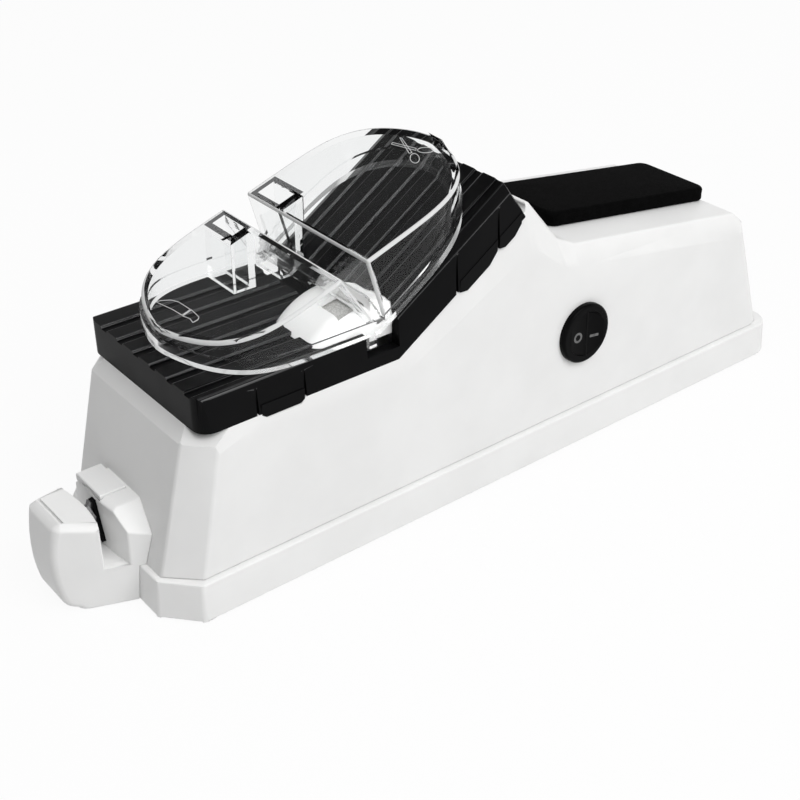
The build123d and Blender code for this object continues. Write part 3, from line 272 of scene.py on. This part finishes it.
# The second tone is a painted shade over the pockets, and the third a painted highlight for the rounded
# edges.
clear_tone, pocket_shade_tone, rim_highlight_tone = (0.965, 0.97, 0.97), (0.03, 0.03, 0.031), (0.74, 0.745, 0.745)
clear_shadow, edge_shadow = 0.88, 0.8          # share of the light that passes in a shadow
flow_scale, flow_depth = 60.0, 0.0001
clear_plastic, clear_shader = plain_shader("clear polycarbonate", clear_tone, roughness=0.03,
                                           IOR=1.2, Transmission_Weight=1.0)
# Painted highlight: a whitish, nearly opaque material for the rounded edges and the raised symbols.
highlight_clear_plastic, highlight_clear_shader = plain_shader("clear edge painted highlight", rim_highlight_tone, roughness=0.22,
                                         IOR=1.3, Transmission_Weight=0.08)


def lets_light_through(material, shader, share):
    """Mix the shader with plain transparency for shadow rays, so that the part behind it stays lit."""
    tree = material.node_tree
    clear = add_node(material, "BsdfTransparent", {"Color": (share, share, share, 1)})
    rays = add_node(material, "LightPath")
    mixed = add_node(material, "MixShader", {0: rays.outputs["Is Shadow Ray"], 1: shader.outputs["BSDF"],
                                             2: clear.outputs["BSDF"]})
    tree.links.new(mixed.outputs["Shader"], tree.nodes["Material Output"].inputs["Surface"])


def faint_flow(material, shader, scale, depth):
    """Slow waves in the surface, as melt flow leaves them."""
    waves = object_noise(material, scale, detail=1.0)
    bump = add_node(material, "Bump", {"Height": waves, "Strength": 0.2, "Distance": depth})
    material.node_tree.links.new(bump.outputs["Normal"], shader.inputs["Normal"])


for glassy, shader, share in ((clear_plastic, clear_shader, clear_shadow),
                              (highlight_clear_plastic, highlight_clear_shader, edge_shadow)):
    lets_light_through(glassy, shader, share)
    faint_flow(glassy, shader, flow_scale, flow_depth)

# Outlines of the two pockets with their walls, as x0, x1, y0, y1. The walls stand on edge below the top, so
# the top looks grey over them; the top's upward faces there get a dark tone in the base colour, a painted
# shade.
front_pocket = (-0.0571, -0.0496, 0.0127, 0.0262)
rear_pocket = (-0.0422, -0.0335, 0.0122, 0.0260)
guard_coordinates = add_node(clear_plastic, "TexCoord")
place = add_node(clear_plastic, "SeparateXYZ", {"Vector": guard_coordinates.outputs["Object"]})
facing = add_node(clear_plastic, "SeparateXYZ", {"Vector": guard_coordinates.outputs["Normal"]})
upward = add_node(clear_plastic, "Math", {0: facing.outputs["Z"], 1: 0.5},
                  operation="GREATER_THAN").outputs["Value"]
over_pocket = []
for x0, x1, y0, y1 in (front_pocket, rear_pocket):
    in_x = add_node(clear_plastic, "Math", {0: place.outputs["X"], 1: (x0 + x1) / 2, 2: (x1 - x0) / 2},
                    operation="COMPARE").outputs["Value"]
    in_y = add_node(clear_plastic, "Math", {0: place.outputs["Y"], 1: (y0 + y1) / 2, 2: (y1 - y0) / 2},
                    operation="COMPARE").outputs["Value"]
    in_both = add_node(clear_plastic, "Math", {0: in_x, 1: in_y}, operation="MULTIPLY")
    over_pocket.append(in_both.outputs["Value"])
either = add_node(clear_plastic, "Math", dict(enumerate(over_pocket)), operation="MAXIMUM").outputs["Value"]
# Painted shade: upward faces over the pockets get a near black tone in the base colour.
painted_pocket_shade = add_node(clear_plastic, "Math", {0: either, 1: upward}, operation="MULTIPLY").outputs["Value"]
clear_plastic.node_tree.links.new(tint(clear_plastic, painted_pocket_shade, clear_tone, pocket_shade_tone),
                                  clear_shader.inputs["Base Color"])


def guard_share(middle, way):
    """The rim and the slot are rounded; the foot, its flange and the pockets are crisp."""
    margin, flange = 0.0002, 0.0055
    in_pocket = any(x0 - margin < middle.x < x1 + margin and y0 - margin < middle.y < y1 + margin
                    for x0, x1, y0, y1 in (front_pocket, rear_pocket))
    return 0.0 if in_pocket or middle.z < cover_height(middle.x) + flange else 1.0


guard = softened("blade_guard", "clear_blade_guard", guard_rounding, shortest=0.0004, share=guard_share)
guard.data.materials.clear()
guard.data.materials.append(clear_plastic)
guard.data.materials.append(highlight_clear_plastic)
# The rounded faces of the rim and the slot take the painted highlight material.
guard.modifiers["rounding"].material = 1


# ---- Raised symbols on the guard ----
# A knife over the slot's knife side and scissors by the scissor pocket: thin raised lines moulded into the
# top, generic outlines, drawn in the whitish edge material, a painted highlight.
guard_top_slope = 0.337
guard_top_station = -0.0431
guard_top_height = 0.0831
line_radius = 0.0001


def on_guard_top(outline, middle, lift):
    """A flat drawing in millimetres, laid on the guard's sloping top.

    A drawn point (u, v) goes to y = middle - u and x = middle + v / sqrt(1 + slope^2), and its height is
    that of the top at x: height + slope (x - station) + lift.
    """
    millimetre = 0.001
    flat = np.asarray(outline, float) * millimetre
    x = middle[0] + flat[:, 1] / math.sqrt(1 + guard_top_slope ** 2)
    y = middle[1] - flat[:, 0]
    z = guard_top_height + guard_top_slope * (x - guard_top_station) + lift
    return np.stack([x, y, z], axis=1)


def round_line(name, paths, radius, sides=6):
    """Closed lines of round section: at each point of each path a ring is carried along the path.

    A ring's point is path + radius (cos t side + sin t up), with side = direction x up, and the rings join
    round both ways.
    """
    vertices, faces = [], []
    for path in paths:
        path = np.asarray(path, float)
        ahead = np.roll(path, -1, axis=0) - np.roll(path, 1, axis=0)
        ahead /= np.linalg.norm(ahead, axis=1, keepdims=True)
        up = np.array([-guard_top_slope, 0, 1]) / math.sqrt(1 + guard_top_slope ** 2)
        side = np.cross(ahead, up)
        side /= np.linalg.norm(side, axis=1, keepdims=True)
        turn = np.linspace(0, 2 * math.pi, sides, endpoint=False)[None, :, None]
        rings = path[:, None] + radius * (np.cos(turn) * side[:, None] + np.sin(turn) * up)
        base = sum(len(v) for v in vertices)
        vertices.append(rings.reshape(-1, 3))
        i, j = np.meshgrid(np.arange(len(path)), np.arange(sides), indexing="ij")
        row, ahead_row, side_on = i * sides, (i + 1) % len(path) * sides, (j + 1) % sides
        quads = np.stack([row + j, row + side_on, ahead_row + side_on, ahead_row + j], axis=-1)
        faces.append(base + quads.reshape(-1, 4))
    mesh = bpy.data.meshes.new(name)
    mesh.from_pydata(np.concatenate(vertices).tolist(), [], np.concatenate(faces).tolist())
    mesh.polygons.foreach_set("use_smooth", np.ones(len(mesh.polygons), bool))
    piece = bpy.data.objects.new(name, mesh)
    scene.collection.objects.link(piece)
    return piece


def dense(corners, step=0.35):
    """A closed outline with points between its corners: start + share (end - start) on each side."""
    corners = np.asarray(corners, float)
    runs = []
    for start, end in zip(corners, np.roll(corners, -1, axis=0)):
        count = max(2, int(np.linalg.norm(end - start) / step))
        share = np.linspace(0, 1, count, endpoint=False)[:, None]
        runs.append(start + (end - start) * share)
    return np.concatenate(runs)


def ellipse(middle, half_long, half_wide, angle, points=20):
    """Closed ellipse: (half_long cos t, half_wide sin t), turned by an angle in degrees."""
    turn = np.linspace(0, 2 * math.pi, points, endpoint=False)
    c, s = math.cos(math.radians(angle)), math.sin(math.radians(angle))
    along, wide = half_long * np.cos(turn), half_wide * np.sin(turn)
    return np.stack([middle[0] + c * along - s * wide, middle[1] + s * along + c * wide], axis=1)


knife_place = (-0.0801, 0.0012)
scissor_place = (-0.0060, -0.0002)
knife_blade = dense([(-8.6, -2.4), (-7.6, -1.2), (-5.4, 0.5), (-2.8, 1.3), (2.6, 1.5), (2.6, -1.1),
                     (-2.0, -1.4)])
knife_handle = dense([(3.0, 1.6), (7.2, 1.2), (7.9, 0.4), (7.6, -1.0), (5.6, -0.6), (3.0, -1.2)])
blade_up = dense([(-7.4, 1.9), (-6.6, 2.0), (1.4, -1.0), (1.0, -1.7)])
blade_down = dense([(-7.2, -1.4), (-7.4, -0.7), (1.0, 0.9), (1.6, 0.2)])
eye_up = ellipse((4.0, 1.7), 2.4, 1.2, 22)
eye_down = ellipse((4.2, -2.4), 2.4, 1.2, -28)
line_lift = 0.00005
drawn = [(knife_place, knife_blade), (knife_place, knife_handle), (scissor_place, blade_up),
         (scissor_place, blade_down), (scissor_place, eye_up), (scissor_place, eye_down)]
symbols = round_line("guard_symbols", [on_guard_top(shape, place, line_lift) for place, shape in drawn],
                     line_radius)
symbols.data.materials.append(highlight_clear_plastic)
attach(symbols, "guard")


# ---- Rear pad ----
# A pad for the hand that steadies the sharpener: closed-cell rubber foam, cut with rounded corners, its top
# slightly crowned. It is glued to the sloping deck.
pad_slope = -0.149
pad_half_width = 0.0140
pad_front = 0.0353
pad_rear = 0.1059
pad_corner = 0.0034
pad_foot = 0.06508             # height of the pad's underside at its front
pad_thickness = 0.00475
pad_edge = 0.0011
pad_crown = 0.0003


def rounded_outline(half_long, half_wide, corner, per_corner=10, per_side=14):
    """Closed rectangle with round corners, joined by straight sides with points on them.

    A corner's points are its centre + corner (cos t, sin t) over a quarter turn.
    """
    long, wide = half_long - corner, half_wide - corner
    middles = [(long, wide), (-long, wide), (-long, -wide), (long, -wide)]
    arcs = []
    for i, (x, y) in enumerate(middles):
        turn = np.linspace(i, i + 1, per_corner) * math.pi / 2
        arcs.append(np.stack([x + corner * np.cos(turn), y + corner * np.sin(turn)], axis=1))
    points = []
    for arc, after in zip(arcs, arcs[1:] + arcs[:1]):
        share = np.linspace(0, 1, per_side, endpoint=False)[1:, None]
        points += [arc, arc[-1] + (after[0] - arc[-1]) * share]
    return np.concatenate(points)


def pad_mesh(name):
    """Pad: its outline is carried up the profile of an edge and in over the crowned top.

    A ring at inset d and height h is the round-cornered outline shrunk by d. On the top, rings shrink
    towards the middle by a share t and rise by crown (1 - t^2). Each ring is tilted with the deck.
    """
    edge_steps, top_rings = 6, 14
    least_corner = 0.0008
    underside_inset = 2.2 * pad_edge
    waist = (0.00008, pad_thickness / 2)
    half_long = (pad_rear - pad_front) / 2
    quarter = np.linspace(0, math.pi / 2, edge_steps)
    edge = [(pad_edge * (1 - math.cos(t)), pad_edge * (1 - math.sin(t))) for t in quarter[::-1]]
    rise = [(pad_edge * (1 - math.sin(t)), pad_thickness - pad_edge + pad_edge * math.cos(t))
            for t in quarter[::-1]]
    profile = [(d, h, 1.0) for d, h in [(underside_inset, 0.0)] + edge + [waist] + rise]
    last = profile[-1]
    profile += [(last[0], last[1], t) for t in np.linspace(1, 0, top_rings)[1:-1]]
    rings = []
    for inset, height, share in profile:
        corner = max(pad_corner - inset, least_corner)
        ring = share * rounded_outline(half_long - inset, pad_half_width - inset, corner)
        lift = height + (pad_crown * (1 - share ** 2) if share < 1 else 0.0)
        rings.append(np.column_stack([ring, np.full(len(ring), lift)]))
    rings = np.array(rings)
    x = (pad_front + pad_rear) / 2 + rings[..., 0]
    z = pad_foot + pad_slope * (x - pad_front) + rings[..., 2]
    grid = np.stack([x, rings[..., 1], z], axis=-1)
    rows, count = grid.shape[:2]
    i, j = np.meshgrid(np.arange(rows - 1), np.arange(count), indexing="ij")
    row, row_above, point_on = i * count, (i + 1) * count, (j + 1) % count
    quads = np.stack([row + j, row + point_on, row_above + point_on, row_above + j], axis=-1)
    underside, top = list(range(count))[::-1], list(range((rows - 1) * count, rows * count))
    faces = quads.reshape(-1, 4).tolist() + [underside, top]
    mesh = bpy.data.meshes.new(name)
    mesh.from_pydata(grid.reshape(-1, 3).tolist(), [], faces)
    mesh.polygons.foreach_set("use_smooth", np.ones(len(mesh.polygons), bool))
    return mesh


pad = bpy.data.objects.new("foam_pad", pad_mesh("foam_pad"))
scene.collection.objects.link(pad)
foam_dark, foam_light = (0.0008, 0.0008, 0.0008), (0.0018, 0.0018, 0.0019)
foam, foam_shader = plain_shader("black foam", foam_light, roughness=0.9, specular=0.035)
foam_place = add_node(foam, "TexCoord").outputs["Object"]
cells = add_node(foam, "TexVoronoi", {"Vector": foam_place, "Scale": 2300.0}).outputs["Distance"]
foam_bump = add_node(foam, "Bump", {"Height": cells, "Strength": 0.5, "Distance": 0.00012})
foam_tone = tint(foam, object_noise(foam, 420.0), foam_dark, foam_light)
foam.node_tree.links.new(foam_bump.outputs["Normal"], foam_shader.inputs["Normal"])
foam.node_tree.links.new(foam_tone, foam_shader.inputs["Base Color"])
pad.data.materials.append(foam)
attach(pad, "housing")
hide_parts("rear_pad")


# ---- Round rocker switch ----
# Glossy black nylon bezel pushed into a round hole in the side, a rocker that tips about a pin, and two
# printed marks, ring for off and bar for on.
off_place, off_facing = (0.03215, -0.03145, 0.03705), (-0.015, -0.999, 0.031)
off_radius, off_hole = 0.00165, 0.58           # the hole as a share of the ring
on_place, on_facing = (0.03818, -0.03217, 0.03626), (-0.214, -0.976, 0.03)
on_half_long, on_half_wide, on_corner, on_hole = 0.0015, 0.00042, 0.0001, 0.2
gloss_black = moulded("glossy black nylon", (0.0026, 0.0026, 0.0028), (0.0018, 0.0018, 0.002),
                      roughness=0.28, specular=0.04, grain=1800.0, depth=0.00001)
rocker_black = moulded("rocker black nylon", (0.0038, 0.0038, 0.004), (0.0028, 0.0028, 0.003),
                       roughness=0.34, specular=0.035, grain=1800.0, depth=0.00001)
mark_ink, ink_shader = plain_shader("grey switch mark", (0.13, 0.13, 0.13), roughness=0.5, specular=0.3)
ink_tone = tint(mark_ink, object_noise(mark_ink, 900.0), (0.11, 0.11, 0.11), (0.15, 0.15, 0.15))
mark_ink.node_tree.links.new(ink_tone, ink_shader.inputs["Base Color"])
for node in ("switch_bezel", "switch_body"):
    dress(node, gloss_black)
dress("switch_rocker", rocker_black)


def mark_on_rocker(name, outline, inner, middle, outward, lift=0.00006):
    """Flat mark with a thickness: outer and inner outline joined on top, below and round both edges.

    An outline's point (u, v) goes to middle + u along + v upward + height outward, with the height -lift
    below and lift on top. Along is level and lies in the rocker's face.
    """
    outward = np.asarray(outward, float) / np.linalg.norm(outward)
    along = np.cross([0, 0, 1.0], outward)
    along /= np.linalg.norm(along)
    upward = np.cross(outward, along)
    rings = []
    for flat, height in ((outline, -lift), (outline, lift), (inner, lift), (inner, -lift)):
        rings.append(np.asarray(middle) + flat[:, :1] * along + flat[:, 1:] * upward + height * outward)
    count = len(outline)
    i, j = np.meshgrid(np.arange(len(rings)), np.arange(count), indexing="ij")
    row, row_on, point_on = i * count, (i + 1) % len(rings) * count, (j + 1) % count
    quads = np.stack([row + j, row + point_on, row_on + point_on, row_on + j], axis=-1)
    mesh = bpy.data.meshes.new(name)
    mesh.from_pydata(np.concatenate(rings).tolist(), [], quads.reshape(-1, 4).tolist())
    piece = bpy.data.objects.new(name, mesh)
    scene.collection.objects.link(piece)
    piece.data.materials.append(mark_ink)
    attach(piece, "rocker")


off_ring = ellipse((0, 0), off_radius, off_radius, 0)
mark_on_rocker("switch_mark_off", off_ring, off_hole * off_ring, off_place, off_facing)
on_bar = rounded_outline(on_half_long, on_half_wide, on_corner, per_corner=4, per_side=3)
mark_on_rocker("switch_mark_on", on_bar, on_hole * on_bar, on_place, on_facing)


# ---- Grinding wheel ----
# A corundum ring bonded on a moulded hub, held on the motor's shaft by a spring clip. The hub, the motor's
# end cap and the battery door are of the same grey ABS.
grit_dark, grit_light = (0.5, 0.495, 0.48), (0.68, 0.675, 0.66)
corundum, corundum_shader = plain_shader("white corundum", grit_dark, roughness=0.85, specular=0.3)
wheel_place = add_node(corundum, "TexCoord").outputs["Object"]
grit = add_node(corundum, "TexVoronoi", {"Vector": wheel_place, "Scale": 3200.0})
grain_grey = add_node(corundum, "RGBToBW", {"Color": grit.outputs["Color"]}).outputs["Val"]
grit_tone = tint(corundum, grain_grey, grit_dark, grit_light)
corundum.node_tree.links.new(grit_tone, corundum_shader.inputs["Base Color"])
grit_bump = add_node(corundum, "Bump", {"Height": grit.outputs["Distance"], "Strength": 0.9,
                                        "Distance": 0.0002})
corundum.node_tree.links.new(grit_bump.outputs["Normal"], corundum_shader.inputs["Normal"])
dress("grinding_wheel", corundum)
grey_plastic = moulded("grey ABS", (0.42, 0.42, 0.43), (0.38, 0.38, 0.39), roughness=0.45, specular=0.4)
for node in ("wheel_hub", "battery_door", "motor_end_cap"):
    dress(node, grey_plastic)


# ---- Metal parts: clip, shaft, can, cradle, screws, battery contacts, blades ----
# Zinc- and nickel-plated steel, drawn or stamped, with fine lines along the draw; the blades are tungsten
# carbide, ground; the tags are brass and the core is laminated iron.


def drawn_metal(name, bright, dull, roughness, stretch):
    """Metal with fine lines: noise stretched along one axis moves its tone and its roughness."""
    material, shader = plain_shader(name, bright, roughness, Metallic=1.0)
    lines = object_noise(material, 900.0, detail=4.0, stretch=stretch)
    polish, scratch = 0.08, 0.1
    sheen = between(material, lines, roughness - polish, roughness + scratch)
    material.node_tree.links.new(tint(material, lines, dull, bright), shader.inputs["Base Color"])
    material.node_tree.links.new(sheen, shader.inputs["Roughness"])
    return material


plated_steel = drawn_metal("plated steel", (0.74, 0.74, 0.75), (0.6, 0.6, 0.61), roughness=0.32,
                           stretch=(1, 0.06, 1))
for node in ("wheel_clip", "motor_shaft", "motor_can", "motor_cradle", "motor_screws", "cradle_screws",
             "housing_screws", "contact_plates", "contact_springs"):
    dress(node, plated_steel)
carbide = drawn_metal("tungsten carbide", (0.42, 0.42, 0.43), (0.3, 0.3, 0.31), roughness=0.25,
                      stretch=(1, 1, 0.1))
dress("carbide_blades", carbide)
brass = drawn_metal("brass tag", (0.78, 0.6, 0.3), (0.66, 0.5, 0.24), roughness=0.35, stretch=(1, 1, 0.1))
for node in ("switch_terminals", "motor_terminals"):
    dress(node, brass)
core_iron = drawn_metal("laminated iron", (0.3, 0.28, 0.26), (0.16, 0.15, 0.14), roughness=0.55,
                        stretch=(0.1, 3, 0.1))
for node in ("motor_armature", "motor_magnets"):
    dress(node, core_iron)


# ---- Batteries, feet and leads ----
# Four AA cells in a plain shrink wrap lie in the bay over the door. The rubber feet are pressed into round
# recesses, and wire in a red PVC sleeve joins the contacts, the switch and the motor.
cell_pitch = 0.0515
band_start = 0.034             # from here to the cell's end the wrap is copper coloured
band_blend = 0.0005
wrap_black, wrap_copper = (0.03, 0.03, 0.035), (0.45, 0.3, 0.12)
wrap, wrap_shader = plain_shader("cell wrap", wrap_black, roughness=0.25)
wrap_coordinates = add_node(wrap, "TexCoord").outputs["Object"]
wrap_place = add_node(wrap, "SeparateXYZ", {"Vector": wrap_coordinates}).outputs["X"]
wrap_band = add_node(wrap, "Math", {0: wrap_place, 1: cell_pitch}, operation="MODULO").outputs["Value"]
wrap_share = add_node(wrap, "MapRange", {"Value": wrap_band, "From Min": band_start,
                                         "From Max": band_start + band_blend}).outputs["Result"]
wrap_tone = tint(wrap, wrap_share, wrap_black, wrap_copper)
wrap.node_tree.links.new(wrap_tone, wrap_shader.inputs["Base Color"])
for node in ("battery_far_front", "battery_far_rear", "battery_near_front", "battery_near_rear"):
    dress(node, wrap)
rubber = moulded("foot rubber", (0.03, 0.03, 0.03), (0.02, 0.02, 0.02), roughness=0.75, specular=0.3,
                 grain=1500.0, depth=0.00004)
for node in ("foot_front_far", "foot_front_near", "foot_rear_far", "foot_rear_near"):
    dress(node, rubber)
red_sleeve = moulded("red PVC sleeve", (0.45, 0.03, 0.025), (0.36, 0.02, 0.02), roughness=0.4,
                     specular=0.5, grain=1500.0)
for node in ("battery_lead", "switch_lead", "motor_lead"):
    dress(node, red_sleeve)


# ---- Camera ----
# It looks down at the nose and the near side. The two angles and the distance are taken from the target.
camera = bpy.data.objects.new("camera", bpy.data.cameras.new("camera"))
camera.data.lens = 60.84
camera.data.sensor_width = 36
camera.data.clip_start = 0.01
camera_azimuth, camera_elevation = math.radians(-38.584), math.radians(32.131)
camera_distance = 0.40779
camera_target = Vector((-0.00983, 0, 0.01649))
backward = Vector((math.sin(camera_azimuth) * math.cos(camera_elevation),
                   -math.cos(camera_azimuth) * math.cos(camera_elevation), math.sin(camera_elevation)))
camera.location = camera_target + backward * camera_distance
camera.rotation_mode = "QUATERNION"
camera.rotation_quaternion = (-backward).to_track_quat("-Z", "Y")
scene.collection.objects.link(camera)
scene.camera = camera


# ---- World, floor and lamps ----
# White studio: the world looks white straight on and near the horizon, and darker overhead in reflections.
# It lights the object from overhead like a large soft box.
sky_light = 1.0
sky_overhead = 0.1
sky_through_guard = 0.4        # overhead, for rays that have passed the clear plastic
world = bpy.data.worlds.new("studio")
scene.world = world
world.use_nodes = True
world.node_tree.nodes.clear()
sky_rays = add_node(world, "LightPath")
sky_way = add_node(world, "TexCoord").outputs["Generated"]
height = add_node(world, "SeparateXYZ", {"Vector": sky_way}).outputs["Z"]


def darker_overhead(top):
    """White near the horizon, falling to a value overhead."""
    fall = {"Value": height, "From Min": 0.4, "From Max": 0.62, "To Min": 1.0, "To Max": top}
    strength = add_node(world, "MapRange", fall, interpolation_type="SMOOTHSTEP").outputs["Result"]
    return add_node(world, "Background", {"Color": (1, 1, 1, 1), "Strength": strength}).outputs[0]


rise = {"Value": height, "From Min": 0.5, "From Max": 0.85, "To Min": 0.0, "To Max": sky_light}
lit = add_node(world, "MapRange", rise, interpolation_type="SMOOTHSTEP").outputs["Result"]
lights = add_node(world, "Background", {"Color": (1, 1, 1, 1), "Strength": lit})
seen = add_node(world, "Background", {"Color": (1, 1, 1, 1), "Strength": 1.0})
shown = lights.outputs[0]
for ray, background in (("Is Glossy Ray", darker_overhead(sky_overhead)),
                        ("Is Transmission Ray", darker_overhead(sky_through_guard)),
                        ("Is Camera Ray", seen.outputs[0])):
    shown = add_node(world, "MixShader", {0: sky_rays.outputs[ray], 1: shown, 2: background}).outputs[0]
world_output = add_node(world, "OutputWorld")
world.node_tree.links.new(shown, world_output.inputs["Surface"])

floor_half = 3.0
floor_white = 0.93             # how bright the floor looks where no shadow falls
paper_tone = (0.8, 0.8, 0.8)
floor_mesh = bpy.data.meshes.new("floor")
floor_corners = [(x * floor_half, y * floor_half, 0) for x, y in ((-1, -1), (1, -1), (1, 1), (-1, 1))]
floor_mesh.from_pydata(floor_corners, [], [(0, 1, 2, 3)])
floor = bpy.data.objects.new("floor", floor_mesh)
scene.collection.objects.link(floor)
paper, paper_shader = plain_shader("white table", paper_tone, roughness=0.9, specular=0.0)
paper_rays = add_node(paper, "LightPath")
seen_ray = paper_rays.outputs["Is Camera Ray"]
for ray in ("Is Glossy Ray", "Is Transmission Ray"):
    either_ray = {0: seen_ray, 1: paper_rays.outputs[ray]}
    seen_ray = add_node(paper, "Math", either_ray, operation="MAXIMUM").outputs["Value"]
glow_share = add_node(paper, "Math", {0: seen_ray, 1: floor_white}, operation="MULTIPLY").outputs["Value"]
glow = add_node(paper, "Emission", {"Color": (1, 1, 1, 1), "Strength": 1.0})
paper_mix = add_node(paper, "MixShader", {0: glow_share, 1: paper_shader.outputs["BSDF"],
                                          2: glow.outputs[0]})
paper.node_tree.links.new(paper_mix.outputs[0], paper.node_tree.nodes["Material Output"].inputs["Surface"])
floor_mesh.materials.append(paper)


def soft_lamp(name, direction, distance, size, power):
    """A square lamp that faces the object from a direction."""
    lamp = bpy.data.lights.new(name, "AREA")
    lamp.size = size
    lamp.energy = power
    holder = bpy.data.objects.new(name, lamp)
    scene.collection.objects.link(holder)
    way = Vector(direction).normalized()
    holder.location = way * distance
    holder.rotation_mode = "QUATERNION"
    holder.rotation_quaternion = way.to_track_quat("Z", "Y")


soft_lamp("near_lamp", direction=(0.08, -0.7, 0.7), distance=1.2, size=0.9, power=9.9)

scene.view_settings.view_transform = "Standard"
